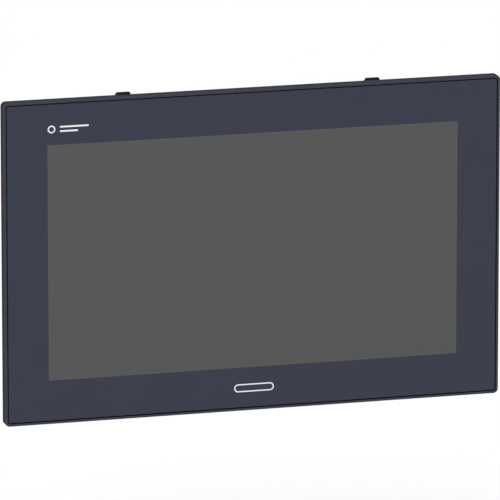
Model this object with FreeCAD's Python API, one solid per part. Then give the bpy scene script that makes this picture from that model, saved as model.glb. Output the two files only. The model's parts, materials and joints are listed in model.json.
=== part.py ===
"""Panel-mount HMI touch panel, 15.6 inch wide, as an assembly of separate pieces.

Frame: the origin is the middle of the sealing plane, where the gasket meets the control panel around it.
+Y points into the cabinet, +Z is up, and the display faces -Y. All sizes are in millimetres.
"""

import math
import os

import FreeCAD
import Part

V = FreeCAD.Vector
os.makedirs("parts", exist_ok=True)

# ---- Driving sizes -------------------------------------------------------------------------------
# Display and outline
ACTIVE_W, ACTIVE_H = 344.2, 193.6  # picture area of the display
INK_GAP = 1.15  # from the picture area to the printed border
BORDER_X, BORDER_Z = 38.1, 37.7  # from the picture area to the edge of the bezel
CORNER_R = 3.9  # corners of the bezel outline
RIM_W = 2.1  # bezel rim around the glass
RIM_ROUND = 0.9
FLANGE_T = 9.0
GASKET_PROUD = 0.8
PAST = 1.0  # how far a cutter runs past the face that it opens
LAP = 0.5  # how far two shapes that become one run into each other
NEAR = 0.01  # how close an edge is to the place where it is looked for

# Glass and its tape
GLASS_GAP = 0.8
GLASS_T = 3.0
GLASS_CORNER_R = 1.2
GLASS_CHAMFER = 0.35
TAPE_T = 1.0
TAPE_INSET = 0.6

# Cut-out in the control panel, and the tub that goes through it
CUTOUT_LIP_X, CUTOUT_LIP_Z = 5.55, 4.2  # what the bezel overlaps on each side of the cut-out
CUTOUT_CLEAR = 0.7
TUB_R, TUB_IN_R = 3.5, 2.5
TUB_WALL = 2.4
TUB_REAR = 18.0
PANEL_T_MAX = 6.0  # thickest control panel that it can be fitted in
GASKET_T = 1.8
GASKET_INSET = 1.0
GASKET_GAP = 0.1

# Display module
MODULE_MARGIN_X, MODULE_MARGIN_Z = 9.8, 11.15  # from the picture area to the module's edge
MODULE_SHEET = 0.5
MODULE_R, WINDOW_R = 1.0, 0.5
MODULE_GAP = 1.6  # around the module, in the bezel's opening
OPENING_R = 1.5
FOAM_T, FOAM_INSET = 0.9, 1.0
SENSOR_T = 0.5
SENSOR_MARGIN = 8.0
CELL_T = 1.4
CELL_MARGIN = 4.0
FILMS_T = 0.6
LIGHT_GUIDE_T = 3.0
REFLECTOR_T = 0.3
LAYER_MARGIN = 3.0
LAYER_GAP = 0.1
LED_BAR_T = 0.8
LED_SIZE, LED_RISE, LED_MARGIN = 3.0, 1.0, 0.4
LED_COUNT = 24
TRAY_SHEET = 0.8
TIMING_W, TIMING_H, TIMING_T = 240.0, 22.0, 1.2
TOUCH_BOARD_W, TOUCH_BOARD_H = 70.0, 26.0
BRACKET_SHEET = 1.2
BRACKET_LEG = 4.2  # along the module's side
BRACKET_LIP = 6.0  # behind the module
BRACKET_REACH = 10.5
BRACKET_END = 10.0
BRACKET_SCREW_OUT, BRACKET_SCREW_IN = 7.4, 28.0  # from the module's side and from its upper edge
RIBBON_T = 0.4
DISPLAY_CABLE_W = 22.0
TOUCH_FLEX_W = 14.0
TOUCH_FLEX_BEND, TOUCH_FLEX_LAP = 0.55, 0.5
BOARD_EDGE = 8.0  # from the module's edge to the boards on its back
TOUCH_FROM_LEFT = 85.0
TOUCH_PLUG_X, TOUCH_PLUG_RISE = 27.0, 1.4
TIMING_PLUG_X, TIMING_PLUG_RISE = 100.0, 1.6
PLUG_SIDE = 2.0  # a flat cable's connector beside the cable
PLUG_DEPTH = 4.0
# Parts on the two boards: x and z from the board's corner, width, height, rise
TIMING_CHIPS = ((30, 6, 12, 12, 1.0), (70, 5, 8, 8, 0.9), (165, 5, 14, 9, 1.0), (205, 7, 7, 7, 0.9))
TOUCH_CHIPS = ((26, 10, 14, 12, 1.0), (8, 12, 6, 8, 1.2), (50, 10, 9, 6, 1.0))

# Chassis and rear cover
CHASSIS_Y = 9.0
CHASSIS_T = 1.2
CHASSIS_GAP = 0.5
CHASSIS_R = 4.0
CHASSIS_INSET_X, CHASSIS_INSET_Z = 9.1, 10.2  # inside the tub
CHASSIS_SCREW_OUT_X, CHASSIS_SCREW_OUT_Z = 7.0, 5.2  # outside the display module
SHEET = 1.2
BOX_INSET_X, BOX_INSET_Z = 38.2, 27.5
BOX_DEPTH = 22.0  # behind the tub
BOX_R, BOX_ROUND = 6.0, 2.0
BOSS_R = 4.0
LOW_BOSS_R = 3.5
BOSS_INSET_X, BOSS_INSET_Z = 4.6, 5.9  # rear cover's bosses, from the tub's inner wall
MIDDLE_BOSS_X = 45.0
VENT_W, VENT_PITCH = 3.0, 7.0
VENT_MARGIN = 5.0
VENT_FROM_STUD = 8.0

# Heat sink
SINK_INSET_X, SINK_INSET_Z = 27.0, 27.0
SINK_BASE_T = 4.0
SINK_R = 3.0
FIN_H = 8.0
FIN_T = 1.8
FIN_PITCH = 8.0
FIN_END = 4.0
FIN_CLEAR = 2.0  # around a boss
SINK_EDGE = 13.0  # plain strip beside the fins, for the screws
SINK_SCREW_IN = 8.5
VESA = 100.0
VESA_BOSS_R = 6.5
VESA_HOLE_R = 2.0
VESA_DEPTH = 10.0
SPREADER_W, SPREADER_R = 52.0, 3.0
FOOT_W, FOOT_H, FOOT_T, FOOT_R = 30.0, 24.0, 4.0, 2.0  # the part of the spreader on the processor
SPREADER_CLEAR = 3.0

# Main board
BOARD_W, BOARD_H, BOARD_T = 190.0, 170.0, 1.6
BOARD_FROM_LEFT = 42.0
BOARD_FROM_WALL = 1.3
BOARD_RISE = 1.0  # behind the rear cover's flange
STANDOFF_R, STANDOFF_SIDES = 3.0, 6
BOARD_SCREW_IN, BOARD_SCREW_LOW = 6.0, 28.0  # from the board's edges, and from its lower edge
CABLE_PLUG_RISE, CABLE_PLUG_Z, CABLE_PLUG_D, CABLE_END, CABLE_LOOP = 1.0, 8.0, 5.0, 7.0, 15.0
CABLE_BEND_SPARE = 0.5
PROCESSOR_W, PROCESSOR_R, CARRIER_T = 37.5, 1.0, 1.2
PROCESSOR_ACROSS, PROCESSOR_UP = 95.0, 105.4  # from the board's lower left corner
DIE_W, DIE_H, DIE_T = 14.0, 10.0, 0.8
PAD_T, PAD_MARGIN = 1.0, 1.0
# Parts on the main board, from its lower left corner
COILS, COIL_PITCH, COIL_X, COIL_Z, COIL_W, COIL_RISE = 3, 15.0, 14.0, 44.0, 11.0, 6.0
BOARD_CHIPS = ((150.0, 30.0, 20.0, 20.0, 1.2), (112.0, 34.0, 14.0, 14.0, 1.0))  # x, z, width, height, rise
# Capacitors: radius, rise, first x and z, step along x and z, count
CAPACITORS = ((4.0, 9.0, 12.0, 70.0, 0.0, 12.0, 5), (3.15, 7.5, 64.0, 42.0, 9.0, 0.0, 3))
MEMORY_FROM_RIGHT, MEMORY_UP = 76.0, 64.0
SLOT_W, SLOT_D, SLOT_RISE, ARM_W, ARM_L = 72.0, 6.5, 5.2, 1.8, 25.5
CARD_IN, CARD_RISE, CARD_Z, CARD_L, CARD_T, CARD_GAP = 2.2, 2.7, 3.6, 29.9, 1.0, 0.1
CARD_CHIPS, CARD_CHIP_PITCH, CARD_CHIP_X, CARD_CHIP_Z = 4, 15.0, 8.0, 14.0
CARD_CHIP_W, CARD_CHIP_H, CARD_CHIP_T = 10.0, 12.0, 1.0

# Screws, M3 unless named otherwise
SCREW_R = 1.47
SCREW_HOLE_R = 1.5
SCREW_CLEAR_R = 1.7
HEAD_R, HEAD_T, HEAD_ROUND = 2.8, 1.9, 0.85
HOLE_SPARE = 2.0  # a blind hole below its screw
BRACKET_SCREW_L, CHASSIS_SCREW_L, BOARD_SCREW_L, COVER_SCREW_L, SINK_SCREW_L = 4.0, 7.0, 6.0, 10.0, 6.5
RECESS_W, RECESS_L, RECESS_D = 0.7, 3.0, 1.1

# Retaining latches
LATCH_W = 12.0
LATCH_RISE = 5.1  # above the tub
LATCH_BODY_H = 13.6  # below the tub's top face
LATCH_SHOULDER = 1.8
LATCH_SHOULDER_H = 3.0
LATCH_TRAVEL = 4.5
LATCH_GAP = 0.25
LATCH_FLAT = 2.5
LATCH_SPACING = 211.0
LATCH_CORNER = 0.8
LATCH_WALL = 2.2
LATCH_RAMP_LOW = 0.9  # the ramp's foot, below the cut-out's edge
LATCH_PANEL_GAP = 0.3  # to the thickest control panel
POCKET_SPARE = 0.5  # below a latch that is pushed right in
SPRING_R, SPRING_WIRE_R, SPRING_TURNS = 2.0, 0.3, 7
SPRING_BORE_R = 2.6
SPRING_BORE_H = 10.5

# Slots for the mounting clamps
CLAMP_SLOT_L, CLAMP_SLOT_W = 18.0, 5.0
CLAMP_FROM_SEAT = 8.5
CLAMP_FROM_CORNER_X, CLAMP_FROM_CORNER_Z = 40.5, 55.1

# Drive tray
DRIVE_L, DRIVE_W, DRIVE_T = 100.0, 69.8, 7.0
DRIVE_ROOM_X, DRIVE_ROOM_Y, DRIVE_ROOM_Z = 3.0, 1.0, 1.0
TRAY_WALL = 1.5
TRAY_GAP = 0.5
BAY_SHEET = 1.0
TRAY_Z = -3.0
TRAY_BACK = 0.5  # behind the middle of the ports
FACE_T = 1.5
FACE_GAP = 0.3
FACE_LAP, FACE_LAP_Y = 5.0, 3.0
FACE_TAIL = 12.0  # the end that carries the thumbscrew
PULL_REACH = 8.0
THUMB_R, THUMB_T = 4.5, 6.0
THUMB_SHANK = 6.0
THUMB_HOLE_R, THUMB_CLEAR_R = 1.52, 1.85
THUMB_FLUTES, THUMB_FLUTE_R, THUMB_FLUTE_FROM = 12, 0.5, 1.0
BAY_END, BAY_FOOT, BAY_RAIL = 4.5, 8.0, 4.0
SOCKET_W, SOCKET_T = 22.0, 2.5
DRIVE_ROUND = 1.5

# Connectors along the lower wall: distances are from the main board's left edge
PORT_PROUD = 0.5
PORT_GAP = 0.3
POWER_AT, SCREEN_PORT_AT, LAN_AT, USB_AT, SERIAL_AT = 18.0, 44.0, (66.0, 84.0), (103.0, 119.5), 146.0
RESET_AT, SWITCH_AT, STUD_AT = 174.0, 206.0, 236.0
LAN_W, LAN_H, LAN_D = 16.0, 13.4, 21.0
LAN_MOUTH = ((11.8, 4.2, 12.0), (6.4, 2.6, 4.3), (4.0, 1.2, 2.7))  # width, from y, to y
LAN_MOUTH_D = 13.0
LAN_CONTACTS, LAN_CONTACT_PITCH, LAN_CONTACT, LAN_CONTACT_FROM, LAN_CONTACT_DROP = 8, 1.02, 0.4, 4.0, 0.6
USB_W, USB_H, USB_D = 14.6, 15.6, 17.5
USB_STEP = 7.6
USB_MOUTH_W, USB_MOUTH_H, USB_MOUTH_D = 12.5, 5.12, 10.0
USB_TONGUE_W, USB_TONGUE_T, USB_TONGUE_Y = 11.1, 1.84, 0.3
TONGUE_IN = 1.0  # behind the port's face
SCREEN_PORT_W, SCREEN_PORT_H, SCREEN_PORT_D = 18.0, 6.6, 16.0
SCREEN_PORT_WALL, SCREEN_PORT_SLOPE = 0.9, 1.2
SCREEN_MOUTH_D, SCREEN_TONGUE_W, SCREEN_TONGUE_T = 9.0, 12.0, 1.0
SERIAL_FLANGE_W, SERIAL_FLANGE_H, SERIAL_SHEET = 30.8, 12.5, 0.8
SERIAL_SHELL_W, SERIAL_SHELL_H, SERIAL_REACH = 17.0, 8.4, 5.8
SERIAL_SLOPE, SERIAL_RISE, SERIAL_BODY_D, SERIAL_BODY_SIDE = 0.8, 3.0, 8.0, 1.0
SERIAL_NUT_X, SERIAL_NUT_R, SERIAL_NUT_T, SERIAL_NUT_BORE_R, SERIAL_NUT_BORE_D = 12.5, 2.75, 4.8, 1.3, 3.8
SERIAL_SHANK = 2.0  # inside the wall
SERIAL_WALL = 0.4
SERIAL_PIN_R, SERIAL_PIN_L, SERIAL_PIN_PITCH = 0.5, 5.0, 2.77
SERIAL_ROWS, SERIAL_ROW_GAP = (4, 5), 2.84
POLE_PITCH, POLES = 5.08, 3
HEADER_H, HEADER_D, HEADER_WALL = 10.4, 12.0, 1.3
HEADER_CAVITY_D, HEADER_PIN_L, HEADER_PIN = 9.0, 6.5, 1.0
RUNNING_GAP = 0.05
SWITCH_W, SWITCH_H, SWITCH_D = 19.0, 13.0, 14.0
SWITCH_LIP, SWITCH_LIP_T = 1.2, 1.8
BLADE_W, BLADE_T, BLADE_L, BLADE_X = 0.8, 4.8, 8.0, 5.0
PIVOT_IN, PIVOT_R, PIVOT_END = 4.6, 1.2, 0.95
ROCKER_H, ROCKER_FLARE = 10.0, 0.3
ROCKER_END, ROCKER_DROP, ROCKER_DIP, ROCKER_TOP = 7.6, 5.2, 3.4, 1.5
ROCKER_SWEEP, ROCKER_GAP, ROCKER_ROOM = 8.4, 0.3, 3.2
ROCKER_TILT = 9.0  # degrees that the rocker leans each way
RESET_R, RESET_L, RESET_PROUD, RESET_TRAVEL = 1.5, 6.5, 0.9, 0.8
RESET_COLLAR_R, RESET_COLLAR_T, RESET_CASE, RESET_RISE = 2.4, 0.9, 7.0, 4.0
STUD_R, STUD_L = 2.0, 11.0
STUD_WASHER_R, STUD_WASHER_T, STUD_NUT_R, STUD_NUT_T = 4.5, 0.8, 4.04, 3.2
COIN_ACROSS, COIN_UP = 30.0, 135.0  # the coin cell, from the board's lower left corner
COIN_R, COIN_T, COIN_GAP = 10.0, 3.2, 0.1
HOLDER_FLOOR, HOLDER_WALL, HOLDER_RISE, CLIP_W, CLIP_T, CLIP_POST = 1.2, 1.5, 4.0, 6.0, 0.7, 1.2

# ---- Places that follow from the sizes -----------------------------------------------------------
PANEL_W, PANEL_H = ACTIVE_W + 2 * BORDER_X, ACTIVE_H + 2 * BORDER_Z
FRONT = -(FLANGE_T + GASKET_PROUD)
FLANGE_BACK = -GASKET_PROUD
POCKET_W, POCKET_H = PANEL_W - 2 * RIM_W, PANEL_H - 2 * RIM_W
POCKET_R = GLASS_CORNER_R + GLASS_GAP
GLASS_W, GLASS_H = POCKET_W - 2 * GLASS_GAP, POCKET_H - 2 * GLASS_GAP
GLASS_BACK = FRONT + GLASS_T
LEDGE = GLASS_BACK + TAPE_T
CUTOUT_W, CUTOUT_H = PANEL_W - 2 * CUTOUT_LIP_X, PANEL_H - 2 * CUTOUT_LIP_Z
TUB_W, TUB_H = CUTOUT_W - 2 * CUTOUT_CLEAR, CUTOUT_H - 2 * CUTOUT_CLEAR
TUB_IN_W, TUB_IN_H = TUB_W - 2 * TUB_WALL, TUB_H - 2 * TUB_WALL
MODULE_W, MODULE_H = ACTIVE_W + 2 * MODULE_MARGIN_X, ACTIVE_H + 2 * MODULE_MARGIN_Z
OPENING_W, OPENING_H = MODULE_W + 2 * MODULE_GAP, MODULE_H + 2 * MODULE_GAP
MODULE_FRONT = GLASS_BACK + SENSOR_T + FOAM_T
MODULE_T = MODULE_SHEET + CELL_T + FILMS_T + LIGHT_GUIDE_T + REFLECTOR_T + TRAY_SHEET
MODULE_BACK = MODULE_FRONT + MODULE_T
TRAY_FLOOR = MODULE_BACK - TRAY_SHEET
CHASSIS_BACK = CHASSIS_Y + CHASSIS_T
COVER_SEAT = TUB_REAR
COVER_FLANGE_BACK = TUB_REAR + SHEET
BOX_W, BOX_H = PANEL_W - 2 * BOX_INSET_X, PANEL_H - 2 * BOX_INSET_Z
BOX_IN_W, BOX_IN_H = BOX_W - 2 * SHEET, BOX_H - 2 * SHEET
BOX_REAR = TUB_REAR + BOX_DEPTH
BOX_FLOOR = BOX_REAR - SHEET
PORT_MIDDLE = (COVER_FLANGE_BACK + BOX_FLOOR) / 2
SINK_W, SINK_H = BOX_W - 2 * SINK_INSET_X, BOX_H - 2 * SINK_INSET_Z
SINK_BACK = BOX_REAR + SINK_BASE_T
FIN_TOP = SINK_BACK + FIN_H
BOARD_X0 = -BOX_W / 2 + BOARD_FROM_LEFT
BOARD_X1 = BOARD_X0 + BOARD_W
BOARD_Z0 = -BOX_IN_H / 2 + BOARD_FROM_WALL
BOARD_Z1 = BOARD_Z0 + BOARD_H
BOARD_Y = COVER_FLANGE_BACK + BOARD_RISE
BOARD_BACK = BOARD_Y + BOARD_T
MEMORY_X0, MEMORY_Z0 = BOARD_X1 - MEMORY_FROM_RIGHT, BOARD_Z0 + MEMORY_UP
WALL_OUT = -BOX_H / 2
WALL_IN = WALL_OUT + SHEET
PORT_FACE = WALL_OUT - PORT_PROUD
PROCESSOR_AT = (BOARD_X0 + PROCESSOR_ACROSS, BOARD_Z0 + PROCESSOR_UP)
DIE_TOP = BOARD_BACK + CARRIER_T + DIE_T
COIN_X, COIN_Z = BOARD_X0 + COIN_ACROSS, BOARD_Z0 + COIN_UP
LATCH_TOP = TUB_H / 2 + LATCH_RISE
LATCH_BOTTOM = TUB_H / 2 - LATCH_BODY_H
LATCH_FRONT = PANEL_T_MAX + LATCH_PANEL_GAP
LATCH_REAR = TUB_REAR - LATCH_GAP
POCKET_FLOOR = LATCH_BOTTOM - LATCH_TRAVEL - POCKET_SPARE
TRAY_L = DRIVE_L + 2 * TRAY_WALL + DRIVE_ROOM_X
TRAY_W = DRIVE_W + 2 * TRAY_WALL + DRIVE_ROOM_Z
TRAY_T = DRIVE_T + TRAY_WALL + DRIVE_ROOM_Y
TRAY_X1 = BOX_W / 2
TRAY_X0 = TRAY_X1 - TRAY_L
TRAY_Y = PORT_MIDDLE + TRAY_BACK
TRAY_Y0, TRAY_Y1 = TRAY_Y - TRAY_T / 2, TRAY_Y + TRAY_T / 2
TRAY_Z0, TRAY_Z1 = TRAY_Z - TRAY_W / 2, TRAY_Z + TRAY_W / 2
FACE_Z0, FACE_Z1 = TRAY_Z0 - FACE_LAP, TRAY_Z1 + FACE_TAIL
THUMB_Z = TRAY_Z1 + FACE_TAIL / 2
BAY_X0, BAY_ROOF = TRAY_X0 - BAY_END, TRAY_Y1 + TRAY_GAP
HEADER_W = POLES * POLE_PITCH + 2 * HEADER_WALL
SERIAL_Y0 = BOARD_BACK + SERIAL_RISE
SERIAL_X, SERIAL_Y = BOARD_X0 + SERIAL_AT, SERIAL_Y0 + SERIAL_SHELL_H / 2
RESET_X, RESET_Y = BOARD_X0 + RESET_AT, BOARD_BACK + RESET_RISE
STUD_X = BOARD_X0 + STUD_AT
PIVOT_Z = WALL_OUT - SWITCH_LIP_T + PIVOT_IN
SPRING_Y = (LATCH_FRONT + LATCH_REAR) / 2
COVER_BOSS_X, COVER_BOSS_Z = TUB_IN_W / 2 - BOSS_INSET_X, TUB_IN_H / 2 - BOSS_INSET_Z
CHASSIS_W, CHASSIS_H = TUB_IN_W - 2 * CHASSIS_INSET_X, TUB_IN_H - 2 * CHASSIS_INSET_Z
CHASSIS_BOSS_X, CHASSIS_BOSS_Z = MODULE_W / 2 + CHASSIS_SCREW_OUT_X, MODULE_H / 2 + CHASSIS_SCREW_OUT_Z
BRACKET_TOP = MODULE_BACK + BRACKET_SHEET
BRACKET_SCREW_X = MODULE_W / 2 + BRACKET_SCREW_OUT
BRACKET_SCREW_Z = MODULE_H / 2 - BRACKET_SCREW_IN

TIMING_Z0 = MODULE_H / 2 - BOARD_EDGE - TIMING_H
TOUCH_X0, TOUCH_Z0 = -MODULE_W / 2 + TOUCH_FROM_LEFT, -MODULE_H / 2 + BOARD_EDGE


def grid(across, up):
    """Every (x, z) point from a list of x and a list of z."""
    return [(x, z) for x in across for z in up]


def both(value):
    """A value on both sides of the middle."""
    return (-value, value)


SINK_SCREW_X, SINK_SCREW_Z = SINK_W / 2 - SINK_EDGE / 2, SINK_H / 2 - SINK_SCREW_IN
COVER_BOSSES = grid(both(COVER_BOSS_X), (-COVER_BOSS_Z, 0, COVER_BOSS_Z))
COVER_BOSSES += grid(both(MIDDLE_BOSS_X), both(COVER_BOSS_Z))
CHASSIS_BOSSES = grid((-CHASSIS_BOSS_X, 0, CHASSIS_BOSS_X), both(CHASSIS_BOSS_Z))
BRACKET_BOSSES = grid(both(BRACKET_SCREW_X), [k * BRACKET_SCREW_Z / 3 for k in (-3, -1, 1, 3)])
SINK_SCREWS = grid(both(SINK_SCREW_X), (-SINK_SCREW_Z, 0, SINK_SCREW_Z))
VESA_POINTS = grid(both(VESA / 2), both(VESA / 2))
BOARD_POINTS = grid(
    (BOARD_X0 + BOARD_SCREW_IN, BOARD_X1 - BOARD_SCREW_IN),
    (BOARD_Z0 + BOARD_SCREW_LOW, BOARD_Z1 - BOARD_SCREW_IN),
)
CLAMPS_ALONG_X = (-CUTOUT_W / 2 + CLAMP_FROM_CORNER_X, 0, CUTOUT_W / 2 - CLAMP_FROM_CORNER_X)
CLAMPS_ALONG_Z = (-CUTOUT_H / 2 + CLAMP_FROM_CORNER_Z, CUTOUT_H / 2 - CLAMP_FROM_CORNER_Z)


# ---- Shape helpers -------------------------------------------------------------------------------
def box(x0, x1, y0, y1, z0, z1):
    """A block between two corners."""
    return Part.makeBox(x1 - x0, y1 - y0, z1 - z0, V(x0, y0, z0))


def block(x, y0, width, height, z0, z1):
    """A block centred on x that stands on the plane y0."""
    return box(x - width / 2, x + width / 2, y0, y0 + height, z0, z1)


def bar(x, y, width, height, z0, z1):
    """A block along Z, centred on (x, y)."""
    return block(x, y - height / 2, width, height, z0, z1)


def prism(points, way):
    """A solid swept along a vector from a flat outline."""
    corners = [V(*point) for point in points]
    return Part.Face(Part.makePolygon([*corners, corners[0]])).extrude(V(*way))


def rounded(width, height, radius, cx=0.0, cz=0.0):
    """A closed wire: a rectangle with round corners, in the plane y = 0."""
    x0, x1, z0, z1 = cx - width / 2, cx + width / 2, cz - height / 2, cz + height / 2
    lines, corners = [], [(x1, z0, -90), (x1, z1, 0), (x0, z1, 90), (x0, z0, 180)]
    for x, z, start in corners:
        ox = x - radius if x > cx else x + radius
        oz = z - radius if z > cz else z + radius
        a0, a1, a2 = (math.radians(start + turn) for turn in (0, 45, 90))
        points = [V(ox + radius * math.cos(a), 0, oz + radius * math.sin(a)) for a in (a0, a1, a2)]
        lines.append(Part.Arc(*points).toShape())
    ends = [(arc.valueAt(arc.FirstParameter), arc.valueAt(arc.LastParameter)) for arc in lines]
    edges = []
    for i, arc in enumerate(lines):
        edges += [arc, Part.LineSegment(ends[i][1], ends[(i + 1) % 4][0]).toShape()]
    return Part.Wire(Part.__sortEdges__(edges))


def plate(width, height, radius, y0, y1, cx=0.0, cz=0.0):
    """A plate with round corners, from y0 to y1."""
    wire = rounded(width, height, radius, cx, cz) if radius else None
    if wire is None:
        return box(cx - width / 2, cx + width / 2, y0, y1, cz - height / 2, cz + height / 2)
    wire.translate(V(0, y0, 0))
    return Part.Face(wire).extrude(V(0, y1 - y0, 0))


def frame(outer, inner, y0, y1):
    """A closed band: outer and inner are (width, height, corner radius)."""
    return plate(*outer, y0, y1).cut(plate(*inner, y0 - PAST, y1 + PAST))


def rod(radius, start, length, axis="y"):
    """A cylinder from start, along +x, +y or +z, or against it with a negative length."""
    ways = {"x": V(1, 0, 0), "y": V(0, 1, 0), "z": V(0, 0, 1)}
    way = ways[axis] if length > 0 else -ways[axis]
    return Part.makeCylinder(radius, abs(length), V(*start), way)


def rods(points, radius, y, length):
    """A cylinder along Y from each (x, z) point on the plane y."""
    return [rod(radius, (x, y, z), length) for x, z in points]


def joined(shapes):
    """One solid from shapes that touch."""
    whole = shapes[0]
    return whole.fuse(shapes[1:]).removeSplitter() if len(shapes) > 1 else whole


def without(shape, cutters):
    """shape with every cutter taken away."""
    return shape.cut(Part.makeCompound(cutters)) if len(cutters) else shape


def group(shapes):
    """Several separate solids under one name."""
    return Part.makeCompound(shapes)


def edges_at(shape, test):
    """The edges whose middle passes a test."""
    found = []
    for edge in shape.Edges:
        middle = edge.valueAt((edge.FirstParameter + edge.LastParameter) / 2)
        if test(middle):
            found.append(edge)
    return found


def screw(x, y, z, length):
    """A pan-head screw whose head sits on the plane y, driven towards -Y, with a cross recess."""
    top = y + HEAD_T
    head = rod(HEAD_R, (x, y, z), HEAD_T)
    head = head.makeFillet(HEAD_ROUND, edges_at(head, lambda m: m.y > top - NEAR))
    shank = rod(SCREW_R, (x, y, z), -length)
    arms = [
        box(x - w / 2, x + w / 2, top - RECESS_D, top + PAST, z - h / 2, z + h / 2)
        for w, h in ((RECESS_L, RECESS_W), (RECESS_W, RECESS_L))
    ]
    return without(joined([head, shank]), [joined(arms)])


def screws(points, y, length):
    """The same screw at each (x, z)."""
    return group([screw(x, y, z, length) for x, z in points])


def bent(points, radius):
    """A wire of straight runs through (y, z) points at x = 0, joined by tangent arcs of one radius."""
    points = [V(0, y, z) for y, z in points]
    edges, here = [], points[0]
    for before, corner, after in zip(points, points[1:], points[2:]):
        back, on = (before - corner).normalize(), (after - corner).normalize()
        half = back.getAngle(on) / 2
        reach = radius / math.tan(half)
        start, end = corner + back * reach, corner + on * reach
        centre = corner + (back + on).normalize() * (radius / math.sin(half))
        middle = centre + (corner - centre).normalize() * radius
        edges += [Part.LineSegment(here, start).toShape(), Part.Arc(start, middle, end).toShape()]
        here = end
    edges.append(Part.LineSegment(here, points[-1]).toShape())
    return Part.Wire(edges)


def ribbon(points, radius, x0, width, thickness=RIBBON_T):
    """A flat cable: the path through (y, z) points, as thick as the cable, and as wide as it along X."""
    path = bent(points, radius)
    first = path.Edges[0]
    start, way = first.valueAt(first.FirstParameter), first.tangentAt(first.FirstParameter)
    side = V(0, -way.z, way.y) * (thickness / 2)
    corners = [start + side, start - side, start - side + V(width, 0, 0), start + side + V(width, 0, 0)]
    profile = Part.makePolygon([*corners, corners[0]])
    solid = path.makePipeShell([profile], True, False)
    solid.translate(V(x0, 0, 0))
    return solid


# ---- Front: bezel, glass and seal ----------------------------------------------------------------
def latch_section(widen, x, z0, y0, y1):
    """The space that a latch's body and shoulders take, with `widen` around them."""
    half, shoulder = LATCH_W / 2 + widen, LATCH_W / 2 + LATCH_SHOULDER + widen
    narrow = box(x - half, x + half, y0, y1, z0, TUB_H / 2 + PAST)
    wide = box(x - shoulder, x + shoulder, y0, y1, z0, LATCH_BOTTOM + LATCH_SHOULDER_H + widen)
    return narrow.fuse(wide)


def latch_pocket_block(x, widen=0.0):
    """The block in the tub that holds a latch, with `widen` around it."""
    half = LATCH_W / 2 + LATCH_SHOULDER + LATCH_GAP + LATCH_WALL + widen
    low = POCKET_FLOOR - LATCH_WALL - widen
    return box(x - half, x + half, FLANGE_BACK - LAP, TUB_REAR, low, TUB_IN_H / 2 + LAP + widen)


def clamp_slots():
    """Cutters for the slots that the mounting clamps hook into, on all four walls of the tub."""
    y0, y1 = CLAMP_FROM_SEAT, CLAMP_FROM_SEAT + CLAMP_SLOT_W
    half, deep = CLAMP_SLOT_L / 2, TUB_WALL + PAST
    cutters = []
    for sign in (-1, 1):
        for x in CLAMPS_ALONG_X:
            z = sorted((sign * (TUB_H / 2 + PAST), sign * (TUB_H / 2 - deep)))
            cutters.append(box(x - half, x + half, y0, y1, *z))
        for z in CLAMPS_ALONG_Z:
            x = sorted((sign * (TUB_W / 2 + PAST), sign * (TUB_W / 2 - deep)))
            cutters.append(box(*x, y0, y1, z - half, z + half))
    return cutters


def boss(points, radius, top):
    """Pillars from the bezel's ledge to `top`."""
    return rods(points, radius, LEDGE + LAP, top - LEDGE - LAP)


def boss_holes(points, top, screw_l, held):
    """Blind holes in pillars that end at `top`, for screws that first pass `held`."""
    return rods(points, SCREW_HOLE_R, top + PAST, held - screw_l - HOLE_SPARE - PAST)


def gasket_outline(grow=0.0):
    """The foam seal's outer and inner edge, as (width, height, corner radius)."""
    outer = (PANEL_W - 2 * GASKET_INSET, PANEL_H - 2 * GASKET_INSET, CORNER_R - GASKET_INSET)
    return outer, (TUB_W + 2 * grow, TUB_H + 2 * grow, TUB_R + grow)


def bezel_frame():
    """The die-cast front: rim and flange, the tub behind it, and the bosses in the tub."""
    flange = plate(PANEL_W, PANEL_H, CORNER_R, FRONT, FLANGE_BACK)
    flange = flange.makeFillet(RIM_ROUND, edges_at(flange, lambda m: m.y < FRONT + NEAR))
    tub = frame((TUB_W, TUB_H, TUB_R), (TUB_IN_W, TUB_IN_H, TUB_IN_R), FLANGE_BACK - LAP, TUB_REAR)
    bosses = boss(COVER_BOSSES, BOSS_R, TUB_REAR)
    bosses += boss(CHASSIS_BOSSES, LOW_BOSS_R, CHASSIS_Y)
    bosses += boss(BRACKET_BOSSES, LOW_BOSS_R, MODULE_BACK)
    pockets = [latch_pocket_block(x) for x in both(LATCH_SPACING / 2)]
    body = joined([flange, tub, *bosses, *pockets])
    cutters = [
        plate(POCKET_W, POCKET_H, POCKET_R, FRONT - PAST, LEDGE),
        plate(OPENING_W, OPENING_H, OPENING_R, LEDGE - PAST, FLANGE_BACK + PAST),
        frame(*gasket_outline(), -GASKET_T, FLANGE_BACK + PAST),
        *clamp_slots(),
        *boss_holes(COVER_BOSSES, TUB_REAR, COVER_SCREW_L, SHEET),
        *boss_holes(CHASSIS_BOSSES, CHASSIS_Y, CHASSIS_SCREW_L, CHASSIS_T),
        *boss_holes(BRACKET_BOSSES, MODULE_BACK, BRACKET_SCREW_L, BRACKET_SHEET),
    ]
    for x in both(LATCH_SPACING / 2):
        cutters.append(latch_section(LATCH_GAP, x, POCKET_FLOOR, LATCH_FRONT - LATCH_GAP, TUB_REAR + PAST))
    return without(body, cutters)


def cover_glass():
    """The front glass, flush with the rim."""
    glass = plate(GLASS_W, GLASS_H, GLASS_CORNER_R, FRONT, GLASS_BACK)
    return glass.makeChamfer(GLASS_CHAMFER, edges_at(glass, lambda m: m.y < FRONT + NEAR))


def glass_tape():
    """The adhesive band that holds the glass on the bezel's ledge."""
    outer = (GLASS_W - 2 * TAPE_INSET, GLASS_H - 2 * TAPE_INSET, GLASS_CORNER_R)
    inner = (OPENING_W + 2 * TAPE_INSET, OPENING_H + 2 * TAPE_INSET, OPENING_R)
    return frame(outer, inner, GLASS_BACK, LEDGE)


def panel_gasket():
    """The foam seal on the back of the flange."""
    return frame(*gasket_outline(GASKET_GAP), -GASKET_T, 0)


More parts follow.
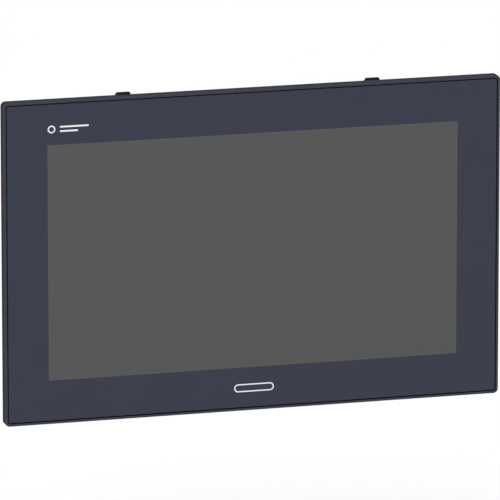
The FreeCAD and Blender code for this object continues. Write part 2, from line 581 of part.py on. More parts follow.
# ---- Touch sensor and display module -------------------------------------------------------------
def touch_sensor():
    """The sensor film laminated behind the glass."""
    width, height = ACTIVE_W + 2 * SENSOR_MARGIN, ACTIVE_H + 2 * SENSOR_MARGIN
    return plate(width, height, MODULE_R, GLASS_BACK, GLASS_BACK + SENSOR_T)


def lcd_foam_seal():
    """The foam band between the sensor and the display module."""
    margin = SENSOR_MARGIN - FOAM_INSET
    outer = (ACTIVE_W + 2 * margin, ACTIVE_H + 2 * margin, MODULE_R)
    inner = (ACTIVE_W + 2 * CELL_MARGIN, ACTIVE_H + 2 * CELL_MARGIN, MODULE_R)
    return frame(outer, inner, GLASS_BACK + SENSOR_T, MODULE_FRONT)


def lcd_front_frame():
    """The module's stamped front frame, with its window and side walls."""
    shell = plate(MODULE_W, MODULE_H, MODULE_R, MODULE_FRONT, MODULE_BACK)
    inner_w, inner_h = MODULE_W - 2 * MODULE_SHEET, MODULE_H - 2 * MODULE_SHEET
    hollow = plate(inner_w, inner_h, MODULE_R - MODULE_SHEET, MODULE_FRONT + MODULE_SHEET, MODULE_BACK + PAST)
    window_w, window_h = ACTIVE_W + 2 * INK_GAP, ACTIVE_H + 2 * INK_GAP
    window = plate(window_w, window_h, WINDOW_R, MODULE_FRONT - PAST, MODULE_FRONT + PAST)
    return without(shell, [hollow, window])


def lcd_layers():
    """The layers behind the frame's window, front to back."""
    y = MODULE_FRONT + MODULE_SHEET
    layers = {}
    for name, thick, margin in (
        ("lcd_cell", CELL_T, CELL_MARGIN),
        ("optical_films", FILMS_T, LAYER_MARGIN),
        ("light_guide", LIGHT_GUIDE_T, LAYER_MARGIN),
        ("reflector_sheet", REFLECTOR_T, LAYER_MARGIN),
    ):
        layers[name] = plate(ACTIVE_W + 2 * margin, ACTIVE_H + 2 * margin, 0, y, y + thick)
        y += thick
    return layers


def led_bar():
    """The strip of LEDs along the light guide's lower edge: the strip, then its LEDs."""
    y0 = MODULE_FRONT + MODULE_SHEET + CELL_T + FILMS_T
    width, top = ACTIVE_W + 2 * LAYER_MARGIN, -(ACTIVE_H / 2 + LAYER_MARGIN) - LAYER_GAP
    foot = top - LED_RISE
    strip = box(-width / 2, width / 2, y0, TRAY_FLOOR, foot - LED_BAR_T, foot)
    pitch = width / LED_COUNT
    leds = []
    for i in range(LED_COUNT):
        x = -width / 2 + (i + 0.5) * pitch
        leds.append(block(x, y0 + LED_MARGIN, LED_SIZE, LIGHT_GUIDE_T - 2 * LED_MARGIN, foot, top))
    return group([strip, *leds])


def lcd_rear_tray():
    """The pan that closes the module from behind, inside the front frame's walls."""
    wall = MODULE_SHEET + LAYER_GAP
    width, height = MODULE_W - 2 * wall, MODULE_H - 2 * wall
    pan = plate(width, height, MODULE_SHEET, MODULE_FRONT + MODULE_SHEET + CELL_T, MODULE_BACK)
    return pan.cut(plate(width - 2 * TRAY_SHEET, height - 2 * TRAY_SHEET, 0, MODULE_FRONT, TRAY_FLOOR))


def chips(x0, y, z0, parts):
    """Flat parts on a board: (x, z, width, height, rise) from its corner."""
    return [box(x0 + x, x0 + x + w, y, y + rise, z0 + z, z0 + z + h) for x, z, w, h, rise in parts]


def board_with_parts(x0, z0, width, height, parts):
    """A circuit board on the back of the module, and its parts."""
    top = MODULE_BACK + TIMING_T
    board = box(x0, x0 + width, MODULE_BACK, top, z0, z0 + height)
    return group([board, *chips(x0, top, z0, parts)])


def lcd_timing_board():
    """The display's timing board, along the module's upper edge."""
    plug = (TIMING_PLUG_X, PLUG_SIDE, 2 * (TIMING_W / 2 - TIMING_PLUG_X), PLUG_DEPTH, TIMING_PLUG_RISE)
    return board_with_parts(-TIMING_W / 2, TIMING_Z0, TIMING_W, TIMING_H, [*TIMING_CHIPS, plug])


def touch_controller_board():
    """The touch controller, at the module's lower left."""
    plug = (TOUCH_PLUG_X, PLUG_SIDE / 2, TOUCH_FLEX_W + 2 * PLUG_SIDE, PLUG_DEPTH, TOUCH_PLUG_RISE)
    return board_with_parts(TOUCH_X0, TOUCH_Z0, TOUCH_BOARD_W, TOUCH_BOARD_H, [*TOUCH_CHIPS, plug])


def touch_flex():
    """The sensor's tail: round the module's lower edge to the controller's connector."""
    low, edge = -ACTIVE_H / 2 - SENSOR_MARGIN + TOUCH_FLEX_LAP, -MODULE_H / 2 - MODULE_GAP / 2
    front = GLASS_BACK + SENSOR_T + RIBBON_T / 2
    back = MODULE_BACK + TIMING_T + TOUCH_PLUG_RISE + RIBBON_T / 2
    points = [(front, low), (front, edge), (back, edge), (back, TOUCH_Z0 + PLUG_DEPTH)]
    return ribbon(points, TOUCH_FLEX_BEND, TOUCH_X0 + TOUCH_PLUG_X + PLUG_SIDE, TOUCH_FLEX_W)


def lcd_bracket(side):
    """An angle that clamps one side of the module to the bezel's bosses; side is -1 or 1."""
    x0, x1 = MODULE_W / 2, MODULE_W / 2 + BRACKET_REACH
    height = MODULE_H / 2 - BRACKET_END
    leg = box(x0, x0 + BRACKET_SHEET, BRACKET_TOP - BRACKET_LEG, BRACKET_TOP, -height, height)
    leaf = box(x0 - BRACKET_LIP, x1, MODULE_BACK, BRACKET_TOP, -height, height)
    points = [(x, z) for x, z in BRACKET_BOSSES if x > 0]
    holes = rods(points, SCREW_CLEAR_R, MODULE_BACK - PAST, BRACKET_SHEET + 2 * PAST)
    angle = without(joined([leg, leaf]), holes)
    return angle if side > 0 else angle.mirror(V(0, 0, 0), V(1, 0, 0))


# ---- Chassis and main board ----------------------------------------------------------------------
def cable_slot():
    """Where the display cable passes the chassis: x and z limits."""
    half = DISPLAY_CABLE_W / 2 + PLUG_SIDE
    return -half, half, TIMING_Z0, TIMING_Z0 + TIMING_H


def chassis_plate():
    """The steel plate behind the display that carries the main board and the drive bay."""
    sheet = plate(CHASSIS_W, CHASSIS_H, CHASSIS_R, CHASSIS_Y, CHASSIS_BACK)
    cutters = rods(CHASSIS_BOSSES, SCREW_CLEAR_R, CHASSIS_Y - PAST, CHASSIS_T + 2 * PAST)
    cutters += [latch_pocket_block(x, CHASSIS_GAP) for x in both(LATCH_SPACING / 2)]
    x0, x1, z0, z1 = cable_slot()
    cutters.append(box(x0, x1, CHASSIS_Y - PAST, CHASSIS_BACK + PAST, z0, z1))
    return without(sheet, cutters)


def standoffs():
    """Hexagonal pillars between the chassis and the main board."""
    pillars = []
    for x, z in BOARD_POINTS:
        turns = [2 * math.pi * i / STANDOFF_SIDES for i in range(STANDOFF_SIDES)]
        outline = [(x + STANDOFF_R * math.cos(t), CHASSIS_BACK, z + STANDOFF_R * math.sin(t)) for t in turns]
        pillar = prism(outline, (0, BOARD_Y - CHASSIS_BACK, 0))
        pillars.append(pillar.cut(Part.makeCompound(boss_holes([(x, z)], BOARD_Y, BOARD_SCREW_L, BOARD_T))))
    return group(pillars)


def main_board():
    """The computer board."""
    board = box(BOARD_X0, BOARD_X1, BOARD_Y, BOARD_BACK, BOARD_Z0, BOARD_Z1)
    return without(board, rods(BOARD_POINTS, SCREW_CLEAR_R, BOARD_Y - PAST, BOARD_T + 2 * PAST))


def board_components():
    """Coils, capacitors, chips, the cable's connector and the reset switch on the main board."""
    flat = [(COIL_X + i * COIL_PITCH, COIL_Z, COIL_W, COIL_W, COIL_RISE) for i in range(COILS)]
    parts = chips(BOARD_X0, BOARD_BACK, BOARD_Z0, [*flat, *BOARD_CHIPS])
    for radius, rise, x, z, step_x, step_z, count in CAPACITORS:
        points = [(BOARD_X0 + x + i * step_x, BOARD_Z0 + z + i * step_z) for i in range(count)]
        parts += rods(points, radius, BOARD_BACK, rise)
    z0 = BOARD_Z1 - CABLE_PLUG_Z
    parts.append(block(0, BOARD_BACK, DISPLAY_CABLE_W + PLUG_SIDE, CABLE_PLUG_RISE, z0, z0 + CABLE_PLUG_D))
    parts.append(reset_switch())
    return group(parts)


def card_outline(gap, z1):
    """The memory card's space in its slot, with a gap around it, up to z1."""
    x0, y0, z0 = MEMORY_X0 + CARD_IN - gap, BOARD_BACK + CARD_RISE, MEMORY_Z0 + CARD_Z
    return box(x0, x0 + SLOT_W - 2 * (CARD_IN - gap), y0 - gap, y0 + CARD_T + gap, z0 - gap, z1)


def memory_socket():
    """The memory's slot, with its two arms."""
    top, front = BOARD_BACK + SLOT_RISE, MEMORY_Z0 + SLOT_D
    body = box(MEMORY_X0, MEMORY_X0 + SLOT_W, BOARD_BACK, top, MEMORY_Z0, front)
    sides = (MEMORY_X0, MEMORY_X0 + SLOT_W - ARM_W)
    arms = [box(x, x + ARM_W, BOARD_BACK, top, front, front + ARM_L) for x in sides]
    return joined([body, *arms]).cut(card_outline(CARD_GAP, front + LAP))


def memory_module():
    """The memory board in its slot."""
    card = card_outline(0, MEMORY_Z0 + CARD_Z + CARD_L)
    flat = [
        (CARD_CHIP_X + i * CARD_CHIP_PITCH, CARD_CHIP_Z, CARD_CHIP_W, CARD_CHIP_H, CARD_CHIP_T)
        for i in range(CARD_CHIPS)
    ]
    return group([card, *chips(MEMORY_X0, BOARD_BACK + CARD_RISE + CARD_T, MEMORY_Z0, flat)])


def processor():
    """The processor: its carrier and the bare die."""
    top = BOARD_BACK + CARRIER_T
    carrier = plate(PROCESSOR_W, PROCESSOR_W, PROCESSOR_R, BOARD_BACK, top, *PROCESSOR_AT)
    return group([carrier, plate(DIE_W, DIE_H, 0, top, DIE_TOP, *PROCESSOR_AT)])


def thermal_pad():
    """The soft pad between the die and the spreader."""
    width, height = DIE_W + 2 * PAD_MARGIN, DIE_H + 2 * PAD_MARGIN
    return plate(width, height, 0, DIE_TOP, DIE_TOP + PAD_T, *PROCESSOR_AT)


def heat_spreader():
    """The aluminium block that carries heat from the processor to the heat sink."""
    foot0 = DIE_TOP + PAD_T
    foot = plate(FOOT_W, FOOT_H, FOOT_R, foot0, foot0 + FOOT_T, *PROCESSOR_AT)
    return joined([foot, plate(SPREADER_W, SPREADER_W, SPREADER_R, foot0 + FOOT_T, BOX_REAR, *PROCESSOR_AT)])


def display_cable():
    """The ribbon from the timing board's connector, through the chassis, back over the main board."""
    near = MODULE_BACK + TIMING_T + TIMING_PLUG_RISE + RIBBON_T / 2
    far = BOARD_BACK + CABLE_PLUG_RISE + RIBBON_T / 2
    turn = TIMING_Z0 + CABLE_LOOP
    points = [(near, TIMING_Z0 + PLUG_SIDE), (near, turn), (far, turn), (far, BOARD_Z1 - CABLE_END)]
    return ribbon(points, (far - near) / 2 - CABLE_BEND_SPARE, -DISPLAY_CABLE_W / 2, DISPLAY_CABLE_W)


# ---- Rear cover and heat sink --------------------------------------------------------------------
def vent_row(x0, x1, z0, z1):
    """Upright slots in a wall that faces up or down, from x0 to x1."""
    count = int((x1 - x0) // VENT_PITCH)
    start = (x0 + x1) / 2 - (count - 1) * VENT_PITCH / 2
    y0 = COVER_FLANGE_BACK + VENT_MARGIN
    length = BOX_REAR - VENT_MARGIN - y0
    return [block(start + i * VENT_PITCH, y0, VENT_W, length, z0, z1) for i in range(count)]


def port_holes():
    """Cutters for the connectors, switch, button and stud in the lower wall."""
    z0, z1 = WALL_OUT - PAST, WALL_IN + PAST
    cutters = []
    for x, y0, width, height in port_blocks():
        cutters.append(block(x, y0 - PORT_GAP, width + 2 * PORT_GAP, height + 2 * PORT_GAP, z0, z1))
    for radius, x, y in ((RESET_R + PORT_GAP, RESET_X, RESET_Y), (STUD_R + RUNNING_GAP, STUD_X, PORT_MIDDLE)):
        cutters.append(rod(radius, (x, y, z0), z1 - z0, "z"))
    return cutters


def port_blocks():
    """Each opening in the lower wall as (middle x, lowest y, width, height)."""
    x0 = BOARD_X0
    blocks = [(x0 + at, BOARD_BACK, LAN_W, LAN_H) for at in LAN_AT]
    blocks += [(x0 + at, BOARD_BACK, USB_W, USB_H) for at in USB_AT]
    blocks.append((x0 + SCREEN_PORT_AT, BOARD_BACK, SCREEN_PORT_W, SCREEN_PORT_H))
    blocks.append((x0 + SERIAL_AT, SERIAL_Y0, SERIAL_SHELL_W, SERIAL_SHELL_H))
    blocks.append((x0 + POWER_AT, BOARD_BACK, HEADER_W, HEADER_H))
    blocks.append((x0 + SWITCH_AT, PORT_MIDDLE - SWITCH_H / 2, SWITCH_W, SWITCH_H))
    return blocks


def rear_cover():
    """The folded steel cover: a flange on the tub and a box behind it, with vents and ports."""
    flange = plate(TUB_W, TUB_H, TUB_R, COVER_SEAT, COVER_FLANGE_BACK)
    outside = plate(BOX_W, BOX_H, BOX_R, COVER_SEAT, BOX_REAR)
    outside = outside.makeFillet(BOX_ROUND, edges_at(outside, lambda m: m.y > BOX_REAR - NEAR))
    inside = plate(BOX_IN_W, BOX_IN_H, BOX_R - SHEET, COVER_SEAT - PAST, BOX_FLOOR)
    shell = without(joined([flange, outside]), [inside])
    end = BOX_W / 2 - BOX_R - VENT_MARGIN
    cutters = vent_row(-end, end, BOX_IN_H / 2 - PAST, BOX_H / 2 + PAST)
    cutters += vent_row(STUD_X + VENT_FROM_STUD, end, WALL_OUT - PAST, WALL_IN + PAST)
    cutters += vent_row(-end, BOARD_X0 + POWER_AT - HEADER_W, WALL_OUT - PAST, WALL_IN + PAST)
    cutters += port_holes()
    cutters += rods(COVER_BOSSES, SCREW_CLEAR_R, COVER_SEAT - PAST, SHEET + 2 * PAST)
    cutters += rods(SINK_SCREWS, SCREW_HOLE_R, BOX_FLOOR - PAST, SHEET + 2 * PAST)
    window = SPREADER_W + 2 * SPREADER_CLEAR
    cutters.append(plate(window, window, SPREADER_R, BOX_FLOOR - PAST, BOX_REAR + PAST, *PROCESSOR_AT))
    side0 = BOX_W / 2 - SHEET - PAST
    cutters.append(tray_opening(side0, BOX_W / 2 + PAST, TRAY_GAP))
    cutters.append(rod(THUMB_CLEAR_R, (side0, TRAY_Y, THUMB_Z), SHEET + 2 * PAST, "x"))
    for x in both(SERIAL_NUT_X):
        nut = (SERIAL_X + x, SERIAL_Y, WALL_OUT - PAST)
        cutters.append(rod(SCREW_CLEAR_R, nut, SHEET + 2 * PAST, "z"))
    return without(shell, cutters)


def heat_sink():
    """The finned plate on the back, with four threaded bosses level with the fins."""
    base = plate(SINK_W, SINK_H, SINK_R, BOX_REAR, SINK_BACK)
    count = int((SINK_W - 2 * SINK_EDGE) // FIN_PITCH) + 1
    root, half = SINK_BACK - LAP, SINK_H / 2 - FIN_END
    clear = Part.makeCompound(rods(VESA_POINTS, VESA_BOSS_R + FIN_CLEAR, SINK_BACK, FIN_H + PAST))
    fins = []
    for i in range(count):
        x = (i - (count - 1) / 2) * FIN_PITCH
        fins.append(block(x, root, FIN_T, FIN_TOP - root, -half, half).cut(clear))
    bosses = rods(VESA_POINTS, VESA_BOSS_R, root, FIN_TOP - root)
    holes = rods(VESA_POINTS, VESA_HOLE_R, FIN_TOP + PAST, -VESA_DEPTH - PAST)
    holes += rods(SINK_SCREWS, SCREW_CLEAR_R, BOX_REAR - PAST, SINK_BASE_T + 2 * PAST)
    return without(joined([base, *fins, *bosses]), holes)


# ---- Drive bay -----------------------------------------------------------------------------------
def tray_opening(x0, x1, widen):
    """The tray's outline between x0 and x1, with `widen` around it."""
    return box(x0, x1, TRAY_Y0 - widen, TRAY_Y1 + widen, TRAY_Z0 - widen, TRAY_Z1 + widen)


def drive_bay():
    """The cage that guides the drive tray, standing on the chassis."""
    x0, x1 = BAY_X0, BOX_W / 2 - SHEET - TRAY_GAP
    z0, z1 = TRAY_Z0 - TRAY_GAP - BAY_SHEET, TRAY_Z1 + TRAY_GAP + BAY_SHEET
    top, rail_top = BAY_ROOF + BAY_SHEET, TRAY_Y0 - TRAY_GAP
    parts = [box(x0, x1, BAY_ROOF, top, z0, z1)]
    upper = z1 - BAY_SHEET
    for wall, rail, foot in ((z0, z0, z0 - BAY_FOOT), (upper, upper - BAY_RAIL, upper)):
        parts.append(box(x0, x1, CHASSIS_BACK, top, wall, wall + BAY_SHEET))
        parts.append(box(x0, x1, CHASSIS_BACK, CHASSIS_BACK + BAY_SHEET, foot, foot + BAY_FOOT + BAY_SHEET))
        parts.append(box(x0, x1, rail_top - BAY_SHEET, rail_top, rail, rail + BAY_RAIL + BAY_SHEET))
    return joined(parts)


def drive_socket():
    """The socket at the cage's inner end that the drive plugs into, on its small board."""
    x0, x1, half = BAY_X0 + BOARD_T, TRAY_X0 - TRAY_GAP, SOCKET_W / 2
    board = box(BAY_X0, x0, TRAY_Y0, BAY_ROOF, TRAY_Z - SOCKET_W, TRAY_Z + SOCKET_W)
    socket = box(x0, x1, TRAY_Y - SOCKET_T, TRAY_Y + SOCKET_T, TRAY_Z - half, TRAY_Z + half)
    return group([board, socket])


def drive_tray():
    """The sliding tray, with its face plate and pull outside the cover."""
    face0 = TRAY_X1 + FACE_GAP
    face1 = face0 + FACE_T
    floor, top = TRAY_Y0 + TRAY_WALL, TRAY_Y1 + PAST
    inner_x0, inner_x1 = TRAY_X0 + TRAY_WALL, TRAY_X1 - TRAY_WALL
    outside = box(TRAY_X0, face0 + LAP, TRAY_Y0, TRAY_Y1, TRAY_Z0, TRAY_Z1)
    inside = box(inner_x0, inner_x1, floor, top, TRAY_Z0 + TRAY_WALL, TRAY_Z1 - TRAY_WALL)
    window = box(TRAY_X0 - PAST, inner_x0 + PAST, floor, top, TRAY_Z - SOCKET_W, TRAY_Z + SOCKET_W)
    face = box(face0, face1, TRAY_Y0 - FACE_LAP_Y, TRAY_Y1 + FACE_LAP_Y, FACE_Z0, FACE_Z1)
    pull = box(face1 - LAP, face1 + PULL_REACH, TRAY_Y0, TRAY_Y1, FACE_Z0, FACE_Z0 + FACE_T)
    hole = rod(THUMB_HOLE_R, (face0 - PAST, TRAY_Y, THUMB_Z), FACE_T + 2 * PAST, "x")
    return joined([without(outside, [inside, window]), face, pull]).cut(hole)


def solid_state_drive():
    """The drive lying in the tray."""
    x0, y0 = TRAY_X0 + (TRAY_L - DRIVE_L) / 2, TRAY_Y0 + TRAY_WALL
    case = box(x0, x0 + DRIVE_L, y0, y0 + DRIVE_T, TRAY_Z - DRIVE_W / 2, TRAY_Z + DRIVE_W / 2)
    return case.makeFillet(DRIVE_ROUND, edges_at(case, lambda m: abs(m.y - y0 - DRIVE_T / 2) < NEAR))


def tray_thumbscrew():
    """The knurled screw that holds the tray's face plate to the cover."""
    face = TRAY_X1 + FACE_GAP + FACE_T
    end = face + THUMB_T
    head = rod(THUMB_R, (face, TRAY_Y, THUMB_Z), THUMB_T, "x")
    flutes = []
    for i in range(THUMB_FLUTES):
        turn = 2 * math.pi * i / THUMB_FLUTES
        y, z = TRAY_Y + THUMB_R * math.cos(turn), THUMB_Z + THUMB_R * math.sin(turn)
        flutes.append(rod(THUMB_FLUTE_R, (face + THUMB_FLUTE_FROM, y, z), THUMB_T, "x"))
    shank = rod(SCREW_R, (face, TRAY_Y, THUMB_Z), -THUMB_SHANK, "x")
    half = RECESS_W / 2
    slot = box(end - RECESS_D, end + PAST, TRAY_Y - half, TRAY_Y + half, THUMB_Z - THUMB_R, THUMB_Z + THUMB_R)
    return joined([without(head, [*flutes, slot]), shank])


# ---- Connectors, switch and stud in the lower wall -----------------------------------------------
def contact_row(count, pitch, x, y, z0, size, length):
    """A row of square contacts along X, from z0 upwards."""
    start = x - (count - 1) * pitch / 2
    return [bar(start + i * pitch, y, size, size, z0, z0 + length) for i in range(count)]


def lan_ports():
    """The shells of two shielded network jacks."""
    shells = []
    for at in LAN_AT:
        x = BOARD_X0 + at
        shell = block(x, BOARD_BACK, LAN_W, LAN_H, PORT_FACE, PORT_FACE + LAN_D)
        mouth = [
            block(x, BOARD_BACK + low, width, high - low, PORT_FACE - PAST, PORT_FACE + LAN_MOUTH_D)
            for width, low, high in LAN_MOUTH
        ]
        shells.append(without(shell, mouth))
    return group(shells)


def lan_contacts():
    """The eight contacts in each network jack."""
    y = BOARD_BACK + LAN_MOUTH[0][2] - LAN_CONTACT_DROP
    z0, length = PORT_FACE + LAN_CONTACT_FROM, LAN_MOUTH_D - LAN_CONTACT_FROM
    contacts = []
    for at in LAN_AT:
        contacts += contact_row(LAN_CONTACTS, LAN_CONTACT_PITCH, BOARD_X0 + at, y, z0, LAN_CONTACT, length)
    return group(contacts)


def usb_mouths():
    """Each USB opening as (middle x, middle y)."""
    middle = BOARD_BACK + USB_H / 2
    return [(BOARD_X0 + at, middle + sign * USB_STEP / 2) for at in USB_AT for sign in (-1, 1)]


def usb_ports():
    """Two shells of two ports each."""
    shells = [block(BOARD_X0 + at, BOARD_BACK, USB_W, USB_H, PORT_FACE, PORT_FACE + USB_D) for at in USB_AT]
    z0, z1 = PORT_FACE - PAST, PORT_FACE + USB_MOUTH_D
    mouths = [bar(x, y, USB_MOUTH_W, USB_MOUTH_H, z0, z1) for x, y in usb_mouths()]
    return group([without(shell, mouths) for shell in shells])


def usb_tongues():
    """The plastic tongues that carry the contacts."""
    z0, z1 = PORT_FACE + TONGUE_IN, PORT_FACE + USB_MOUTH_D
    return group([block(x, y + USB_TONGUE_Y, USB_TONGUE_W, USB_TONGUE_T, z0, z1) for x, y in usb_mouths()])


def trapezoid(x, y0, width, height, slope, z0, z1):
    """A block along Z whose section is narrower at its lower y by `slope` on each side."""
    low, high = width / 2 - slope, width / 2
    corners = [(-low, y0), (low, y0), (high, y0 + height), (-high, y0 + height)]
    return prism([(x + dx, y, z0) for dx, y in corners], (0, 0, z1 - z0))


def serial_section(inset, z0, z1):
    """The serial port's outline between z0 and z1, inside its shell by `inset`."""
    width, height = SERIAL_SHELL_W - 2 * inset, SERIAL_SHELL_H - 2 * inset
    return trapezoid(SERIAL_X, SERIAL_Y0 + inset, width, height, SERIAL_SLOPE, z0, z1)


def serial_port():
    """The nine-pin port's shell and flange, outside the cover, with its two jack nuts."""
    z0 = WALL_OUT - SERIAL_SHEET
    flange = bar(SERIAL_X, SERIAL_Y, SERIAL_FLANGE_W, SERIAL_FLANGE_H, z0, WALL_OUT)
    hollow = serial_section(SERIAL_WALL, z0 - SERIAL_REACH - PAST, WALL_OUT + PAST)
    shell = serial_section(0, z0 - SERIAL_REACH, WALL_OUT).cut(hollow)
    holes, nuts = [hollow], []
    for dx in both(SERIAL_NUT_X):
        x = SERIAL_X + dx
        foot = z0 - SERIAL_NUT_T
        nut = hexagon(x, SERIAL_Y, SERIAL_NUT_R, foot, z0)
        shank = rod(SCREW_R, (x, SERIAL_Y, z0 - LAP), LAP + SERIAL_SHEET + SHEET + SERIAL_SHANK, "z")
        bore = rod(SERIAL_NUT_BORE_R, (x, SERIAL_Y, foot - PAST), SERIAL_NUT_BORE_D + PAST, "z")
        nuts.append(joined([nut, shank]).cut(bore))
        holes.append(rod(SCREW_R, (x, SERIAL_Y, z0 - PAST), SERIAL_SHEET + 2 * PAST, "z"))
    return group([joined([without(flange, holes), shell]), *nuts])


def hexagon(x, y, radius, z0, z1):
    """A hexagonal prism along Z."""
    turns = [i * math.pi / 3 for i in range(6)]
    return prism([(x + radius * math.cos(t), y + radius * math.sin(t), z0) for t in turns], (0, 0, z1 - z0))


def serial_insert():
    """The insulator inside the shell, its body behind the wall and its pins."""
    front = WALL_OUT - SERIAL_SHEET
    core = serial_section(SERIAL_WALL, front, WALL_IN)
    width, height = SERIAL_SHELL_W + 2 * SERIAL_BODY_SIDE, SERIAL_RISE + SERIAL_SHELL_H + SERIAL_BODY_SIDE
    body = block(SERIAL_X, BOARD_BACK, width, height, WALL_IN, WALL_IN + SERIAL_BODY_D)
    pins = []
    for count, side in zip(SERIAL_ROWS, (-1, 1)):
        start = SERIAL_X - (count - 1) * SERIAL_PIN_PITCH / 2
        y = SERIAL_Y + side * SERIAL_ROW_GAP / 2
        for i in range(count):
            pins.append(rod(SERIAL_PIN_R, (start + i * SERIAL_PIN_PITCH, y, front), -SERIAL_PIN_L, "z"))
    return group([joined([core, body]), *pins])


def screen_port():
    """The port for a second screen, with its tongue."""
    x, wall = BOARD_X0 + SCREEN_PORT_AT, SCREEN_PORT_WALL
    width, height, end = SCREEN_PORT_W - 2 * wall, SCREEN_PORT_H - 2 * wall, PORT_FACE + SCREEN_MOUTH_D
    shell = block(x, BOARD_BACK, SCREEN_PORT_W, SCREEN_PORT_H, PORT_FACE, PORT_FACE + SCREEN_PORT_D)
    mouth = trapezoid(x, BOARD_BACK + wall, width, height, SCREEN_PORT_SLOPE, PORT_FACE - PAST, end)
    middle = BOARD_BACK + SCREEN_PORT_H / 2
    tongue = bar(x, middle, SCREEN_TONGUE_W, SCREEN_TONGUE_T, PORT_FACE + TONGUE_IN, end)
    return group([shell.cut(mouth), tongue])


def power_header():
    """The supply header's shroud, on the board."""
    x, wall = BOARD_X0 + POWER_AT, HEADER_WALL
    shroud = block(x, BOARD_BACK, HEADER_W, HEADER_H, PORT_FACE, PORT_FACE + HEADER_D)
    floor = PORT_FACE + HEADER_CAVITY_D
    width, height = HEADER_W - 2 * wall, HEADER_H - 2 * wall
    return shroud.cut(block(x, BOARD_BACK + wall, width, height, PORT_FACE - PAST, floor))


def header_pins():
    """The supply header's three pins."""
    y, z0 = BOARD_BACK + HEADER_H / 2, PORT_FACE + HEADER_CAVITY_D - HEADER_PIN_L
    return group(contact_row(POLES, POLE_PITCH, BOARD_X0 + POWER_AT, y, z0, HEADER_PIN, HEADER_PIN_L))


def switch_body():
    """The power switch's case, with a lip outside the wall and bearings for the rocker."""
    x, y = BOARD_X0 + SWITCH_AT, PORT_MIDDLE
    lip0, rear = WALL_OUT - SWITCH_LIP_T, WALL_OUT + SWITCH_D
    case = bar(x, y, SWITCH_W, SWITCH_H, lip0, rear)
    lip = bar(x, y, SWITCH_W + 2 * SWITCH_LIP, SWITCH_H + 2 * SWITCH_LIP, lip0, WALL_OUT)
    hollow_w, hollow_h = 2 * (ROCKER_SWEEP + ROCKER_GAP), ROCKER_H + 2 * ROCKER_GAP
    hollow = bar(x, y, hollow_w, hollow_h, lip0 - PAST, PIVOT_Z + ROCKER_ROOM)
    bearing = rod(PIVOT_R + RUNNING_GAP, (x, y - SWITCH_H / 2 - PAST, PIVOT_Z), SWITCH_H + 2 * PAST)
    blades = [bar(x + dx, y, BLADE_W, BLADE_T, rear, rear + BLADE_L) for dx in both(BLADE_X)]
    return group([without(joined([case, lip]), [hollow, bearing]), *blades])


def switch_rocker():
    """The rocker on its pivot, leaning to its off side."""
    x, y0 = BOARD_X0 + SWITCH_AT, PORT_MIDDLE - ROCKER_H / 2
    wide = ROCKER_END + ROCKER_FLARE
    outline = [(-ROCKER_END, -ROCKER_DROP), (0, -ROCKER_DIP), (ROCKER_END, -ROCKER_DROP), (wide, ROCKER_TOP)]
    outline.append((-wide, ROCKER_TOP))
    body = prism([(x + dx, y0, PIVOT_Z + dz) for dx, dz in outline], (0, ROCKER_H, 0))
    rocker = joined([body, rod(PIVOT_R, (x, y0 - PIVOT_END, PIVOT_Z), ROCKER_H + 2 * PIVOT_END)])
    rocker.rotate(V(x, y0, PIVOT_Z), V(0, 1, 0), -ROCKER_TILT)
    return rocker


def reset_button():
    """The reset plunger, kept in by its collar."""
    stem = rod(RESET_R, (RESET_X, RESET_Y, WALL_OUT - RESET_PROUD), RESET_L, "z")
    collar = rod(RESET_COLLAR_R, (RESET_X, RESET_Y, WALL_IN + PORT_GAP), RESET_COLLAR_T, "z")
    return joined([stem, collar])


def reset_switch():
    """The board's switch that the reset plunger works, with its guide."""
    z0 = WALL_IN + 2 * PORT_GAP + RESET_COLLAR_T + RESET_TRAVEL
    case = block(RESET_X, BOARD_BACK, RESET_CASE, RESET_RISE + RESET_CASE / 2, z0, z0 + RESET_CASE)
    end = WALL_OUT - RESET_PROUD + RESET_L + RESET_TRAVEL + PORT_GAP
    return case.cut(rod(RESET_R + RUNNING_GAP, (RESET_X, RESET_Y, z0 - PAST), end - z0 + PAST, "z"))


def ground_stud():
    """The earthing stud, with its washer and nut."""
    x, y = STUD_X, PORT_MIDDLE
    head = rod(2 * STUD_R, (x, y, WALL_IN), STUD_R, "z")
    shank = rod(STUD_R, (x, y, WALL_IN + LAP), -(SHEET + STUD_L + LAP), "z")
    washer = rod(STUD_WASHER_R, (x, y, WALL_OUT), -STUD_WASHER_T, "z")
    seat = WALL_OUT - STUD_WASHER_T
    return joined([head, shank, washer, hexagon(x, y, STUD_NUT_R, seat - STUD_NUT_T, seat)])


# ---- Coin cell -----------------------------------------------------------------------------------
def coin_cell():
    """The clock's battery."""
    return rod(COIN_R, (COIN_X, BOARD_BACK + HOLDER_FLOOR, COIN_Z), COIN_T)


def battery_holder():
    """The ring and clip that hold the coin cell."""
    floor, rim = BOARD_BACK + HOLDER_FLOOR, COIN_R + HOLDER_WALL
    ring = rod(rim, (COIN_X, BOARD_BACK, COIN_Z), HOLDER_RISE)
    ring = ring.cut(rod(COIN_R + COIN_GAP, (COIN_X, floor, COIN_Z), HOLDER_RISE))
    clip = block(COIN_X, floor + COIN_T, CLIP_W, CLIP_T, COIN_Z, COIN_Z + rim)
    foot = BOARD_BACK + HOLDER_RISE - COIN_GAP
    post = block(COIN_X, foot, CLIP_W, floor + COIN_T + CLIP_T - foot, COIN_Z + rim - CLIP_POST, COIN_Z + rim)
    return joined([ring, clip, post])


